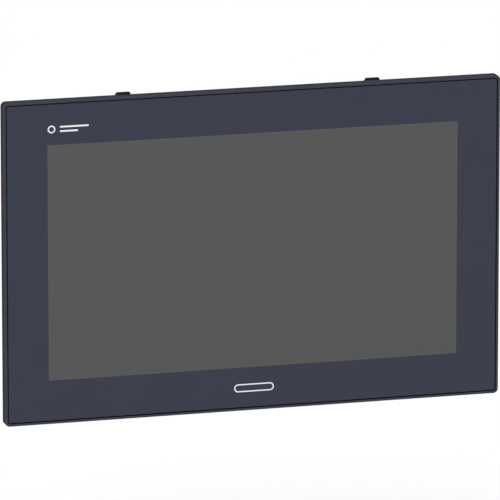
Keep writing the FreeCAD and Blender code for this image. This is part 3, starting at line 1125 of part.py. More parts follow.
# ---- Retaining latches ---------------------------------------------------------------------------
def latch(x):
    """A sprung catch with a ramp at its rear and shoulders that stop it in its pocket."""
    outline = [
        (LATCH_FRONT, LATCH_BOTTOM),
        (LATCH_REAR, LATCH_BOTTOM),
        (LATCH_REAR, CUTOUT_H / 2 - LATCH_RAMP_LOW),
        (LATCH_FRONT + LATCH_FLAT, LATCH_TOP),
        (LATCH_FRONT, LATCH_TOP),
    ]
    body = prism([(x - LATCH_W / 2, y, z) for y, z in outline], (LATCH_W, 0, 0))
    sides = edges_at(body, lambda m: abs(abs(m.x - x) - LATCH_W / 2) < NEAR and m.z > TUB_H / 2)
    body = body.makeChamfer(LATCH_CORNER, sides)
    width, depth = LATCH_W + 2 * LATCH_SHOULDER, LATCH_REAR - LATCH_FRONT
    shoulders = block(x, LATCH_FRONT, width, depth, LATCH_BOTTOM, LATCH_BOTTOM + LATCH_SHOULDER_H)
    bore = rod(SPRING_BORE_R, (x, SPRING_Y, LATCH_BOTTOM - PAST), SPRING_BORE_H + PAST, "z")
    return joined([body, shoulders]).cut(bore)


def latch_spring(x):
    """The coil spring between the pocket's floor and the latch's bore."""
    low, high = POCKET_FLOOR + SPRING_WIRE_R, LATCH_BOTTOM + SPRING_BORE_H - SPRING_WIRE_R
    helix = Part.makeHelix((high - low) / SPRING_TURNS, high - low, SPRING_R)
    start = helix.Edges[0].valueAt(helix.Edges[0].FirstParameter)
    way = helix.Edges[0].tangentAt(helix.Edges[0].FirstParameter)
    profile = Part.Wire(Part.makeCircle(SPRING_WIRE_R, start, way))
    coil = Part.Wire(helix.Edges).makePipeShell([profile], True, True)
    coil.translate(V(x, SPRING_Y, low))
    return coil


# ---- The pieces ----------------------------------------------------------------------------------
def pieces():
    """Every piece by name."""
    layers = lcd_layers()
    left, right = -LATCH_SPACING / 2, LATCH_SPACING / 2
    named = {
        "bezel_frame": bezel_frame(),
        "cover_glass": cover_glass(),
        "glass_tape": glass_tape(),
        "panel_gasket": panel_gasket(),
        "touch_sensor": touch_sensor(),
        "lcd_foam_seal": lcd_foam_seal(),
        "touch_flex": touch_flex(),
        "lcd_front_frame": lcd_front_frame(),
        **layers,
        "led_bar": led_bar(),
        "lcd_rear_tray": lcd_rear_tray(),
        "lcd_timing_board": lcd_timing_board(),
        "touch_controller_board": touch_controller_board(),
        "lcd_bracket_left": lcd_bracket(-1),
        "lcd_bracket_right": lcd_bracket(1),
        "bracket_screws": screws(BRACKET_BOSSES, BRACKET_TOP, BRACKET_SCREW_L),
        "display_cable": display_cable(),
        "chassis_plate": chassis_plate(),
        "chassis_screws": screws(CHASSIS_BOSSES, CHASSIS_BACK, CHASSIS_SCREW_L),
        "board_standoffs": standoffs(),
        "main_board": main_board(),
        "board_screws": screws(BOARD_POINTS, BOARD_BACK, BOARD_SCREW_L),
        "board_components": board_components(),
        "processor": processor(),
        "thermal_pad": thermal_pad(),
        "heat_spreader": heat_spreader(),
        "memory_socket": memory_socket(),
        "memory_module": memory_module(),
        "battery_holder": battery_holder(),
        "coin_cell": coin_cell(),
        "rear_cover": rear_cover(),
        "cover_screws": screws(COVER_BOSSES, COVER_FLANGE_BACK, COVER_SCREW_L),
        "heat_sink": heat_sink(),
        "heat_sink_screws": screws(SINK_SCREWS, SINK_BACK, SINK_SCREW_L),
        "drive_bay": drive_bay(),
        "drive_socket": drive_socket(),
        "drive_tray": drive_tray(),
        "solid_state_drive": solid_state_drive(),
        "tray_thumbscrew": tray_thumbscrew(),
        "lan_ports": lan_ports(),
        "lan_contacts": lan_contacts(),
        "usb_ports": usb_ports(),
        "usb_tongues": usb_tongues(),
        "serial_port": serial_port(),
        "serial_insert": serial_insert(),
        "screen_port": screen_port(),
        "power_header": power_header(),
        "header_pins": header_pins(),
        "switch_body": switch_body(),
        "switch_rocker": switch_rocker(),
        "reset_button": reset_button(),
        "ground_stud": ground_stud(),
        "latch_left": latch(left),
        "latch_right": latch(right),
        "latch_spring_left": latch_spring(left),
        "latch_spring_right": latch_spring(right),
    }
    return named


for name, shape in pieces().items():
    shape.exportStep(f"parts/{name}.step")
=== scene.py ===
"""Looks of the HMI touch panel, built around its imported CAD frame. Lengths are in metres."""

import json
import math

import bmesh
import bpy
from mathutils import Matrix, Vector


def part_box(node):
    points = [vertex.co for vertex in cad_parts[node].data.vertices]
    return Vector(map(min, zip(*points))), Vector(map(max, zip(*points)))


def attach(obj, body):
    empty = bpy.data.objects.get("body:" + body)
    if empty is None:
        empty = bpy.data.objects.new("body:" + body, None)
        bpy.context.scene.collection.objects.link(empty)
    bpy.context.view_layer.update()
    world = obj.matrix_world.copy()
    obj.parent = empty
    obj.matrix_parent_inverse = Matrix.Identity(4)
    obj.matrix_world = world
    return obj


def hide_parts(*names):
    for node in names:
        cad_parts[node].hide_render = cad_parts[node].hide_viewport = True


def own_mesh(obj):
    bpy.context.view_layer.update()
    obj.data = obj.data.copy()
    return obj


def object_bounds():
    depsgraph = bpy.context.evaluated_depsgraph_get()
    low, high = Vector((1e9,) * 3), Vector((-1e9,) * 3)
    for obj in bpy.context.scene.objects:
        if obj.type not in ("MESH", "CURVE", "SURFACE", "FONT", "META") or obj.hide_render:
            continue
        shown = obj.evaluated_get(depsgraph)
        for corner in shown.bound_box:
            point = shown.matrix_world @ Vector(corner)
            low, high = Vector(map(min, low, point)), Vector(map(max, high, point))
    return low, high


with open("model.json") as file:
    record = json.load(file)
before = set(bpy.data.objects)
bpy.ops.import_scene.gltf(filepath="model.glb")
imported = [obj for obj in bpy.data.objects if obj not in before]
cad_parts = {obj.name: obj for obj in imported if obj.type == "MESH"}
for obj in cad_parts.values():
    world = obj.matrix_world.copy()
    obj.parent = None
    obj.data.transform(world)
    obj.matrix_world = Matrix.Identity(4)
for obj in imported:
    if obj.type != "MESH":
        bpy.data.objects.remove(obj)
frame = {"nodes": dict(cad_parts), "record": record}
cad_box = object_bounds()
NODES = frame["nodes"]
RECORD = frame["record"]
BODY_OF = {node: body for body, nodes in RECORD["behaviour"]["bodies"].items() for node in nodes}
MM = 0.001

# ---- Driving values ------------------------------------------------------------------------------
VIEW_AZIMUTH, VIEW_ELEVATION = math.radians(-15.8), math.radians(13.06)
LENS, SENSOR, DISTANCE = 535.6, 36.0, 6.0775
CLIP_END = 100.0
AIM_RIGHT, AIM_UP = -3.29 * MM, 0.34 * MM  # from the line through the glass's middle to the camera
WORLD_STRENGTH, KEY_POWER, KEY_SIZE, KEY_PLACE = 1.08, 12.0, 1.6, (-0.9, -1.6, 1.9)
FLOOR_DROP = 0.185  # floor below the object, which its mount holds up
FLOOR_SIZE, FLOOR_CLOUD = 40.0, 0.8
SHADE_FROM, SHADE_TO = 0.3, 0.7  # the part of a noise's range that carries its pattern
WELD, FLAT, SHARP, ROUND_SEGMENTS = 0.001 * MM, math.radians(0.5), math.radians(35), 2

# Print on the glass, from its middle
WINDOW_HALF = (173.5 * MM, 97.95 * MM)  # the clear window in the printed border
PICTURE_HALF = (172.1 * MM, 96.8 * MM)
MARK_X, MARK_Z, PILL_Z = -170.0 * MM, 111.0 * MM, -115.3 * MM
BAR_FROM, BAR_ENDS, BAR_HALF, BAR_RISE = 7 * MM, (31 * MM, 22 * MM), 0.7 * MM, 1.8 * MM
RING_R, RING_LINE, PILL_HALF, PILL_R, PILL_LINE = 3.2 * MM, 1.1 * MM, 13.5 * MM, 3.4 * MM, 1.0 * MM
ROCKER_MARK = 4.4 * MM  # from the rocker's middle to its marks

# Zones of the paint
PLATE_W, PLATE_H, PLATE_EDGE, PLATE_GAP, PLATE_SOFT = 16 * MM, 40 * MM, 0.6 * MM, 5 * MM, 0.1 * MM
JOINT, JOINT_DEPTH = 0.85 * MM, 0.3 * MM  # the joint around the glass, and where its black sealant starts
# Behind SIDE_FROM, the flange's sides and the tub carry painted shade
SIDE_FROM, SIDE_SOFT = 0.9 * MM, 0.3 * MM  # where the flange's sides start behind its front

# Linear colours
SLATE, SLATE_INK = (0.036, 0.039, 0.058), (0.027, 0.030, 0.051)
WINDOW_GREY, PICTURE_GREY = (0.0725, 0.0725, 0.072), (0.0695, 0.0695, 0.069)
PRINT_WHITE, GLASS_EDGE = (0.72, 0.73, 0.75), (0.008, 0.010, 0.012)
BLACK, SOFT_BLACK, DARK_GREY = (0.012, 0.012, 0.013), (0.02, 0.02, 0.021), (0.05, 0.051, 0.054)
ZINC, STEEL, NICKEL, TIN = (0.50, 0.51, 0.53), (0.55, 0.55, 0.56), (0.66, 0.64, 0.60), (0.72, 0.72, 0.73)
ALUMINIUM, ANODISED = (0.62, 0.63, 0.64), (0.42, 0.43, 0.44)
GOLD, BRASS, COPPER = (0.83, 0.62, 0.28), (0.68, 0.50, 0.20), (0.55, 0.30, 0.12)
COVER_GREY, BUTTON_GREY, LABEL_GREY = (0.40, 0.41, 0.42), (0.20, 0.20, 0.21), (0.62, 0.63, 0.64)
BOARD_GREEN, TRACE_GREEN, HEADER_GREEN = (0.010, 0.085, 0.035), (0.020, 0.150, 0.060), (0.012, 0.20, 0.065)
AMBER, PALE_WHITE, PHOSPHOR = (0.42, 0.14, 0.018), (0.75, 0.75, 0.74), (0.75, 0.62, 0.12)
TONGUE_BLUE, PAD_BLUE, DIE_GREY = (0.015, 0.075, 0.38), (0.30, 0.36, 0.46), (0.16, 0.17, 0.2)
ACRYLIC, FILM, FILM_GRID = (0.6, 0.65, 0.67), (0.09, 0.10, 0.11), (0.13, 0.14, 0.15)
CELL, CELL_ROWS = (0.012, 0.012, 0.014), (0.03, 0.03, 0.034)
FLOOR_SHADE, FLOOR_WHITE = (0.90, 0.90, 0.90), (0.92, 0.92, 0.92)

# Places on single pieces, from their ends
CAN_ROWS = ((7, 17, 65, 123), (60, 86, 38, 46))  # capacitors on the board, in mm: x from, to, z from, to
COIL_REACH, COIL_TOP, CAN_MARK = 20 * MM, 1.4 * MM, 5.5 * MM
TIMING_BOARD_T, CARD_T, PART_RISE = 1.2 * MM, 1.0 * MM, 0.05 * MM
GLASS_SHOWS = 0.3 * MM  # how deep the print shows at the glass's edge
SHELL_FRONT, LAN_WALL, USB_WALL, SCREEN_WALL = 0.35 * MM, 1.2 * MM, 0.9 * MM, 1.0 * MM
PIN_ROOTS, BLADE_ROOTS, LED_TOP, DIE_TOP = 9.85 * MM, 7.95 * MM, 0.95 * MM, 0.75 * MM
SOCKET_BOARD_T, HOLDER_RING = 1.65 * MM, 4.05 * MM
ON_BAR, OFF_RING, MARK_DEPTH = (0.25 * MM, 1.3 * MM), (0.9 * MM, 1.35 * MM), 2.0 * MM
LABEL_SIDE, LABEL_START, LABEL_END, LABEL_T = 10 * MM, 12 * MM, 30 * MM, 0.2 * MM
STUD_THREAD, STUD_PITCH = 7 * MM, 0.7 * MM
PLACES = 5  # decimals that tell two vertices apart

# Sizes of patterns
TOUCH_PITCH, PIXEL_PITCH, CONDUCTOR_PITCH, KNURL_PITCH = 5.0 * MM, 0.53 * MM, 1.0 * MM, 0.6 * MM
TRACE_FIELD, TRACE_PITCH, TRACE_CLOUD, PAD_SPACING = 7 * MM, 1.3 * MM, 22 * MM, 3.4 * MM
SLEEVE_PITCH, PEEL = 2.4 * MM, 2.5 * MM


# ---- Material kit --------------------------------------------------------------------------------
class Surface:
    """One Principled material, and short calls for the nodes that feed it."""

    def __init__(self, name, **values):
        self.material = bpy.data.materials.new(name)
        self.material.use_nodes = True
        self.tree = self.material.node_tree
        self.tree.nodes.clear()
        self.shader = self.tree.nodes.new("ShaderNodeBsdfPrincipled")
        output = self.tree.nodes.new("ShaderNodeOutputMaterial")
        self.tree.links.new(self.shader.outputs[0], output.inputs[0])
        self.place = self.node("ShaderNodeTexCoord").outputs["Object"]
        self.set(**values)

    def node(self, kind, inputs=(), **settings):
        """A node with its settings; inputs are (socket, value or output) pairs."""
        made = self.tree.nodes.new(kind)
        for key, value in settings.items():
            setattr(made, key, value)
        for key, value in inputs:
            self.plug(made.inputs[key], value)
        return made

    def plug(self, socket, value):
        """Joins an output to the socket, or sets its value."""
        if isinstance(value, bpy.types.NodeSocket):
            self.tree.links.new(value, socket)
        elif socket.type == "RGBA" and len(value) == 3:
            socket.default_value = (*value, 1.0)
        else:
            socket.default_value = value

    def set(self, **values):
        """Shader sockets by name, with _ for a space."""
        for key, value in values.items():
            self.plug(self.shader.inputs[key.replace("_", " ")], value)
        return self

    def stretched(self, scale):
        """Object coordinates multiplied by scale along each axis."""
        return self.node("ShaderNodeMapping", [("Vector", self.place), ("Scale", scale)]).outputs[0]

    def axis(self, name):
        """One object coordinate."""
        return self.node("ShaderNodeSeparateXYZ", [(0, self.place)]).outputs["XYZ".index(name)]

    def noise(self, size, detail=2.0, scale=(1, 1, 1)):
        """Noise with features about `size` across, from 0 to 1."""
        pairs = [("Vector", self.stretched(scale)), ("Scale", 1 / size), ("Detail", detail)]
        fac = self.node("ShaderNodeTexNoise", pairs).outputs["Fac"]
        return self.levels(fac, SHADE_FROM, SHADE_TO, 0.0, 1.0)

    def cells(self, size, feature="F1"):
        """Distance in a pattern of cells about `size` across."""
        pairs = [("Vector", self.place), ("Scale", 1 / size)]
        return self.node("ShaderNodeTexVoronoi", pairs, feature=feature).outputs["Distance"]

    def math(self, operation, a, b=0.0):
        """One Math node."""
        return self.node("ShaderNodeMath", [(0, a), (1, b)], operation=operation).outputs[0]

    def levels(self, value, low, high, to_low, to_high):
        """value from low..high to to_low..to_high, held at the ends."""
        pairs = [("Value", value), ("From Min", low), ("From Max", high)]
        pairs += [("To Min", to_low), ("To Max", to_high)]
        return self.node("ShaderNodeMapRange", pairs, clamp=True).outputs[0]

    def blend(self, factor, a, b):
        """Colour a where factor is 0 and b where it is 1."""
        made = self.node("ShaderNodeMix", data_type="RGBA")
        for socket, value in ((0, factor), (6, a), (7, b)):
            self.plug(made.inputs[socket], value)
        return made.outputs[2]

    def mixed(self, factor, a, b):
        """Number a where factor is 0 and b where it is 1."""
        made = self.node("ShaderNodeMix", data_type="FLOAT")
        for socket, value in ((0, factor), (2, a), (3, b)):
            self.plug(made.inputs[socket], value)
        return made.outputs[0]

    def tinted(self, colour, factor):
        """A colour multiplied by a number."""
        pairs = [(0, colour), ("Scale", factor)]
        return self.node("ShaderNodeVectorMath", pairs, operation="SCALE").outputs[0]

    def many(self, operation, values):
        """A Math operation over several values."""
        total = values[0]
        for value in values[1:]:
            total = self.math(operation, total, value)
        return total

    def above(self, value, limit, soft=0.02 * MM):
        """1 where value is over limit, 0 below."""
        return self.levels(value, limit - soft, limit + soft, 0.0, 1.0)

    def below(self, value, limit, soft=0.02 * MM):
        """1 where value is under limit, 0 above."""
        return self.levels(value, limit - soft, limit + soft, 1.0, 0.0)

    def within(self, value, low, high, soft=0.02 * MM):
        """1 between low and high."""
        return self.math("MULTIPLY", self.above(value, low, soft), self.below(value, high, soft))

    def boxed(self, low, high):
        """1 inside a box between two corners; None leaves a side open."""
        masks = []
        for name, start, end in zip("XYZ", low, high):
            if start is not None:
                masks.append(self.above(self.axis(name), start))
            if end is not None:
                masks.append(self.below(self.axis(name), end))
        return self.many("MULTIPLY", masks)

    def panel(self, half, soft=0.02 * MM):
        """1 inside a rectangle around the middle of the front."""
        x, z = self.math("ABSOLUTE", self.axis("X")), self.math("ABSOLUTE", self.axis("Z"))
        return self.math("MULTIPLY", self.below(x, half[0], soft), self.below(z, half[1], soft))

    def lines(self, name, pitch, share=0.5, soft=0.1):
        """Stripes across one axis: 1 for `share` of each pitch."""
        turn = self.math("FRACT", self.math("DIVIDE", self.math("ADD", self.axis(name), 1.0), pitch))
        ramp = self.math("ABSOLUTE", self.math("SUBTRACT", turn, 0.5))
        return self.levels(ramp, share / 2 - soft / 2, share / 2 + soft / 2, 1.0, 0.0)

    def bump(self, height, strength, depth, below=None):
        """Adds height as bump, over any bump given."""
        pairs = [("Height", height), ("Strength", strength), ("Distance", depth)]
        if below is not None:
            pairs.append(("Normal", below))
        return self.node("ShaderNodeBump", pairs).outputs[0]


def scaled(colour, factor):
    """A colour made lighter or darker."""
    return tuple(channel * factor for channel in colour)


# ---- General finishes ----------------------------------------------------------------------------
def powder_coat(name, colour, roughness=0.5, grain=0.35 * MM, spread=0.05, specular=0.35):
    """Baked powder paint: fine orange peel, faint clouding and a slightly uneven gloss."""
    s = Surface(name, Specular_IOR_Level=specular)
    cloud, speck = s.noise(30 * MM, 3.0), s.noise(0.25 * MM, 1.0)
    shade = s.mixed(0.4, cloud, speck)
    s.set(Base_Color=s.blend(shade, scaled(colour, 1 - spread), scaled(colour, 1 + spread)))
    s.set(Roughness=s.levels(cloud, 0.0, 1.0, roughness - 0.04, roughness + 0.05))
    fine = s.bump(s.noise(grain, 2.0), 0.5, 0.02 * MM)
    s.set(Normal=s.bump(s.noise(PEEL, 1.0), 0.25, 0.03 * MM, fine))
    return s.material


def moulded(name, colour, roughness=0.45, specular=0.4, grain=0.12 * MM):
    """Moulded plastic: spark-eroded texture, faint flow marks and a slightly uneven gloss."""
    s = Surface(name, Specular_IOR_Level=specular)
    flow = s.noise(14 * MM, 2.0, (1, 1, 0.3))
    s.set(Base_Color=s.blend(flow, scaled(colour, 0.88), scaled(colour, 1.12)))
    s.set(Roughness=s.levels(flow, 0.0, 1.0, roughness - 0.06, roughness + 0.06))
    s.set(Normal=s.bump(s.noise(grain, 1.0), 0.35, 0.012 * MM))
    return s.material


def foam(name, colour, pore=0.5 * MM):
    """Closed-cell foam rubber with open pores on its cut faces."""
    s = Surface(name, Specular_IOR_Level=0.2, Roughness=0.9)
    pores = s.levels(s.cells(pore), 0.1, 0.6, 1.0, 0.0)
    s.set(Base_Color=s.blend(pores, scaled(colour, 1.25), scaled(colour, 0.55)))
    s.set(Normal=s.bump(pores, 0.6, 0.08 * MM))
    return s.material


def metal(name, colour, roughness=0.35, lines=(1, 1, 0.02), line=0.12 * MM, spangle=0.0):
    """Bare or plated metal: lines left by rolling or brushing, and spangle on zinc."""
    s = Surface(name, Metallic=1.0)
    brushed, cloud = s.noise(line, 3.0, lines), s.noise(18 * MM)
    shade = s.mixed(0.5, brushed, cloud)
    tone = s.blend(shade, scaled(colour, 0.86), scaled(colour, 1.08))
    if spangle:
        flakes = s.levels(s.cells(spangle), 0.0, 0.9, 0.0, 0.25)
        tone = s.blend(flakes, tone, scaled(colour, 0.7))
    s.set(Base_Color=tone, Roughness=s.levels(shade, 0.0, 1.0, roughness - 0.08, roughness + 0.1))
    s.set(Normal=s.bump(brushed, 0.12, 0.01 * MM))
    return s.material


def film(name, colour, roughness, dots=1.5 * MM, contrast=0.1):
    """A thin optical sheet with a fine regular print."""
    s = Surface(name, Roughness=roughness)
    spots = s.levels(s.cells(dots), 0.1, 0.35, 1.0, 0.0)
    s.set(Base_Color=s.blend(spots, colour, scaled(colour, 1 - contrast)))
    s.set(Normal=s.bump(spots, 0.3, 0.02 * MM))
    return s.material


class Zoned(Surface):
    """A node of several finishes: a ground, and zones with a finish of their own."""

    def __init__(self, name, ground, grain=0.1 * MM, **values):
        super().__init__(name, **values)
        self.colour, self.shine, self.rough = ground
        self.grain = grain

    def zone(self, mask, finish):
        """Where mask is 1, the surface has this colour, metallic value and roughness."""
        colour, shine, rough = finish
        self.colour = self.blend(mask, self.colour, colour)
        self.shine = self.mixed(mask, self.shine, shine)
        self.rough = self.mixed(mask, self.rough, rough)
        return self

    def done(self, bumps=(), spread=0.13, flow_size=6 * MM):
        """Adds the uneven tone and grain that all the finishes share."""
        flow = self.noise(flow_size, 3.0)
        self.set(Base_Color=self.tinted(self.colour, self.levels(flow, 0.0, 1.0, 1 - spread, 1 + spread)))
        gloss = self.levels(flow, 0.0, 1.0, -0.05, 0.06)
        self.set(Metallic=self.shine, Roughness=self.math("ADD", self.rough, gloss))
        normal = self.bump(self.noise(self.grain), 0.25, 0.01 * MM)
        for height, depth in bumps:
            normal = self.bump(height, 0.8, depth, normal)
        self.set(Normal=normal)
        return self.material


# Finish of one zone: colour, metallic, roughness
PLASTIC, JOINT_BLACK, MASK = (SOFT_BLACK, 0.0, 0.45), (BLACK, 0.0, 0.8), (BOARD_GREEN, 0.0, 0.35)
CAN, GILT, SHIELD = (ALUMINIUM, 1.0, 0.3), (GOLD, 1.0, 0.25), (TIN, 1.0, 0.26)
COIL_END, SOLDER, CAGE = (TIN, 1.0, 0.25), (TIN, 1.0, 0.35), (DARK_GREY, 0.7, 0.4)
PLATE_RIM, PLATE, PAPER = (LABEL_GREY, 0.9, 0.4), (LABEL_GREY, 0.6, 0.5), (LABEL_GREY, 0.0, 0.5)
PHOSPHOR_CAP, DIE, DRIVE = (PHOSPHOR, 0.0, 0.3), (DIE_GREY, 0.8, 0.12), (DARK_GREY, 0.6, 0.4)
COVER, LED_BOARD = (COVER_GREY, 0.0, 0.52), (PALE_WHITE, 0.0, 0.5)
# The sides' finish is the slate darkened to 0.6 as painted shade, not a different paint
SLATE_FRONT, SLATE_SIDE_PAINTED_SHADE = (SLATE, 0.0, 0.6), (scaled(SLATE, 0.6), 0.0, 0.7)
FRONT_SPECULAR, SIDE_SPECULAR = 0.12, 0.03


def low(node, axis):
    """A node's lowest place along an axis."""
    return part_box(node)[0]["XYZ".index(axis)]


def high(node, axis):
    """A node's highest place along an axis."""
    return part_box(node)[1]["XYZ".index(axis)]


# ---- Finishes of single pieces -------------------------------------------------------------------
def bezel_powder():
    """Slate powder paint, with painted shade darkening the sides and the tub, and black in the joint around
    the glass.
    """
    s = Zoned("slate_powder", SLATE_FRONT, grain=0.35 * MM)
    front = low("bezel_frame", "Y")
    joint = [high("cover_glass", name) + JOINT for name in "XZ"]
    # Painted shade: behind its front, the flange's sides and the tub take the darkened slate
    side = s.above(s.axis("Y"), front + SIDE_FROM, SIDE_SOFT)
    s.zone(side, SLATE_SIDE_PAINTED_SHADE).set(Specular_IOR_Level=s.mixed(side, FRONT_SPECULAR, SIDE_SPECULAR))
    depth = s.within(s.axis("Y"), front + JOINT_DEPTH, high("glass_tape", "Y") + SIDE_SOFT)
    s.zone(s.math("MULTIPLY", s.panel(joint), depth), JOINT_BLACK)
    return s.done([(s.noise(PEEL, 1.0), 0.02 * MM)], spread=0.04, flow_size=30 * MM)


def cover_powder():
    """Light grey powder paint, with a blank rating plate beside the heat sink."""
    s = Zoned("cover_powder", COVER, grain=0.5 * MM, Specular_IOR_Level=0.35)
    x, z = high("heat_sink", "X") + PLATE_GAP, low("heat_sink", "Z") + PLATE_GAP
    back = high("rear_cover", "Y") - PLATE_SOFT
    for inset, finish in ((0.0, PLATE_RIM), (PLATE_EDGE, PLATE)):
        start, end = (x + inset, back, z + inset), (x + PLATE_W - inset, None, z + PLATE_H - inset)
        s.zone(s.boxed(start, end), finish)
    return s.done([(s.noise(PEEL, 1.0), 0.03 * MM)], spread=0.03, flow_size=40 * MM)


def front_glass():
    """Anti-glare glass, printed on its back: slate border, clear window and two plain white marks."""
    s = Surface("printed_glass", Specular_IOR_Level=0.2, IOR=1.5)
    window, picture = s.panel(WINDOW_HALF), s.panel(PICTURE_HALF)
    speck, cloud = s.noise(0.2 * MM, 1.0), s.noise(60 * MM, 3.0)
    ink = s.tinted(SLATE_INK, s.levels(s.mixed(0.5, speck, cloud), 0.0, 1.0, 0.97, 1.03))
    grid = s.math("MAXIMUM", s.lines("X", TOUCH_PITCH, 0.04, 0.02), s.lines("Z", TOUCH_PITCH, 0.04, 0.02))
    cell = s.tinted(s.blend(picture, WINDOW_GREY, PICTURE_GREY), s.levels(grid, 0.0, 1.0, 1.0, 1.03))
    colour = s.blend(window, ink, cell)
    colour = s.blend(front_marks(s), colour, PRINT_WHITE)
    edge = s.above(s.axis("Y"), low("cover_glass", "Y") + GLASS_SHOWS)
    s.set(Base_Color=s.blend(edge, colour, GLASS_EDGE))
    s.set(Roughness=s.levels(cloud, 0.0, 1.0, 0.30, 0.36))
    s.set(Normal=s.bump(s.noise(0.15 * MM, 1.0), 0.12, 0.004 * MM))
    return s.material


def front_marks(s):
    """Plain white print: a ring and two bars at the upper left, and a pill outline at the middle below."""
    shapes = []
    for end, middle in zip(BAR_ENDS, (MARK_Z + BAR_RISE, MARK_Z - BAR_RISE)):
        along = s.within(s.axis("X"), MARK_X + BAR_FROM, MARK_X + end)
        shapes.append(s.math("MULTIPLY", along, s.within(s.axis("Z"), middle - BAR_HALF, middle + BAR_HALF)))
    loops = ((MARK_X, MARK_Z, 0.0, RING_R, RING_LINE), (0.0, PILL_Z, PILL_HALF, PILL_R, PILL_LINE))
    for x, z, half, radius, line in loops:
        reach = s.math("SUBTRACT", s.math("ABSOLUTE", s.math("SUBTRACT", s.axis("X"), x)), half)
        across = s.math("POWER", s.math("MAXIMUM", reach, 0.0), 2.0)
        up = s.math("POWER", s.math("ABSOLUTE", s.math("SUBTRACT", s.axis("Z"), z)), 2.0)
        distance = s.math("SQRT", s.math("ADD", across, up))
        shapes.append(s.within(distance, radius - line, radius))
    return s.many("MAXIMUM", shapes)


def circuit_board(name, face=None):
    """Green solder mask with traces and tinned pads; black parts stand above `face` along Y."""
    s = Zoned(name, MASK)
    traces = s.levels(s.cells(TRACE_FIELD, "DISTANCE_TO_EDGE"), 0.03, 0.06, 1.0, 0.0)
    fine = s.math("MULTIPLY", s.lines("X", TRACE_PITCH, 0.45), s.above(s.noise(TRACE_CLOUD), 0.55, 0.02))
    s.colour = s.blend(s.math("MAXIMUM", traces, fine), BOARD_GREEN, TRACE_GREEN)
    pads = s.levels(s.cells(PAD_SPACING), 0.10, 0.13, 1.0, 0.0)
    s.zone(pads, SOLDER)
    if face is not None:
        s.zone(s.above(s.axis("Y"), face + PART_RISE), PLASTIC)
    return s.done([(traces, 0.03 * MM)])


def components():
    """Ferrite coils, capacitor cans with their marked sleeves, chips and a connector."""
    s = Zoned("board_parts", PLASTIC)
    x, board, z = low("main_board", "X"), high("main_board", "Y"), low("main_board", "Z")
    for x0, x1, z0, z1 in CAN_ROWS:
        s.zone(s.boxed((x + x0 * MM, board, z + z0 * MM), (x + x1 * MM, None, z + z1 * MM)), CAN)
    tops = s.above(s.axis("Y"), high("board_components", "Y") - COIL_TOP)
    s.zone(s.math("MULTIPLY", tops, s.below(s.axis("X"), x + COIL_REACH)), COIL_END)
    marks = s.math("MULTIPLY", s.lines("X", SLEEVE_PITCH, 0.12), s.above(s.axis("Y"), board + CAN_MARK))
    return s.done([(marks, 0.05 * MM)])


def ribbon(name, colour, conductor):
    """A flat cable with its conductors showing through along its length."""
    s = Surface(name, Roughness=0.38)
    stripes = s.lines("X", CONDUCTOR_PITCH, 0.5, 0.3)
    s.set(Base_Color=s.blend(s.math("MULTIPLY", stripes, 0.35), colour, conductor))
    s.set(Normal=s.bump(stripes, 0.4, 0.05 * MM))
    return s.material


def heat_sink():
    """Extruded, satin anodised aluminium: draw lines along the fins, with painted shade darkening them
    towards their roots.
    """
    s = Surface("sink_anodised", Metallic=1.0)
    drawn, cloud = s.noise(0.18 * MM, 3.0, (1, 1, 0.01)), s.noise(35 * MM)
    shade = s.mixed(0.45, drawn, cloud)
    # Painted shade: the colour darkens from the fins' tips towards their roots
    painted_root_shade = s.levels(s.axis("Y"), low("heat_sink", "Y"), high("heat_sink", "Y"), 0.78, 1.06)
    s.set(Base_Color=s.tinted(s.blend(shade, scaled(ANODISED, 0.85), scaled(ANODISED, 1.1)), painted_root_shade))
    s.set(Roughness=s.levels(shade, 0.0, 1.0, 0.34, 0.5))
    s.set(Normal=s.bump(drawn, 0.25, 0.02 * MM))
    return s.material


def earth_stud():
    """Brass with a screw thread on the end that stands out, its grooves darkened with painted shade."""
    s = Surface("stud_brass", Metallic=1.0)
    start = low("ground_stud", "Z")
    thread = s.within(s.axis("Z"), start, start + STUD_THREAD)
    turns = s.math("MULTIPLY", s.lines("Z", STUD_PITCH, 0.5, 0.5), thread)
    cloud = s.noise(3 * MM, 3.0)
    tone = s.blend(cloud, scaled(BRASS, 0.85), scaled(BRASS, 1.1))
    # Painted shade: one half of each turn of the thread is darkened
    s.set(Base_Color=s.blend(s.math("MULTIPLY", turns, 0.35), tone, scaled(BRASS, 0.35)))
    s.set(Roughness=s.levels(cloud, 0.0, 1.0, 0.22, 0.38))
    s.set(Normal=s.bump(turns, 0.9, 0.25 * MM))
    return s.material


def whole(node):
    """The section (x0, x1, y0, y1) of a node that is one part."""
    return [(low(node, "X"), high(node, "X"), low(node, "Y"), high(node, "Y"))]


def halves(node):
    """The sections (x0, x1, y0, y1) of a node's two parts side by side along X."""
    xs = sorted({round(vertex.co.x, PLACES) for vertex in NODES[node].data.vertices})
    middle = (xs[0] + xs[-1]) / 2
    left = max(x for x in xs if x < middle)
    right = min(x for x in xs if x > middle)
    return [(x0, x1, low(node, "Y"), high(node, "Y")) for x0, x1 in ((xs[0], left), (right, xs[-1]))]


def jack_shell(name, node, wall, sections, lining=PLASTIC):
    """A tinned shield whose inside is lined, behind its front face."""
    s = Zoned(name, SHIELD)
    inner = s.above(s.axis("Z"), low(node, "Z") + SHELL_FRONT)
    openings = []
    for x0, x1, y0, y1 in sections:
        across = s.within(s.axis("X"), x0 + wall, x1 - wall)
        openings.append(s.math("MULTIPLY", across, s.within(s.axis("Y"), y0 + wall, y1 - wall)))
    s.zone(s.math("MULTIPLY", inner, s.many("MAXIMUM", openings)), lining)
    return s.done()


def serial_insulator():
    """Black insulator with gilt pins."""
    s = Zoned("serial_insulator", PLASTIC)
    s.zone(s.below(s.axis("Z"), high("serial_port", "Z") - PIN_ROOTS), GILT)
    return s.done()


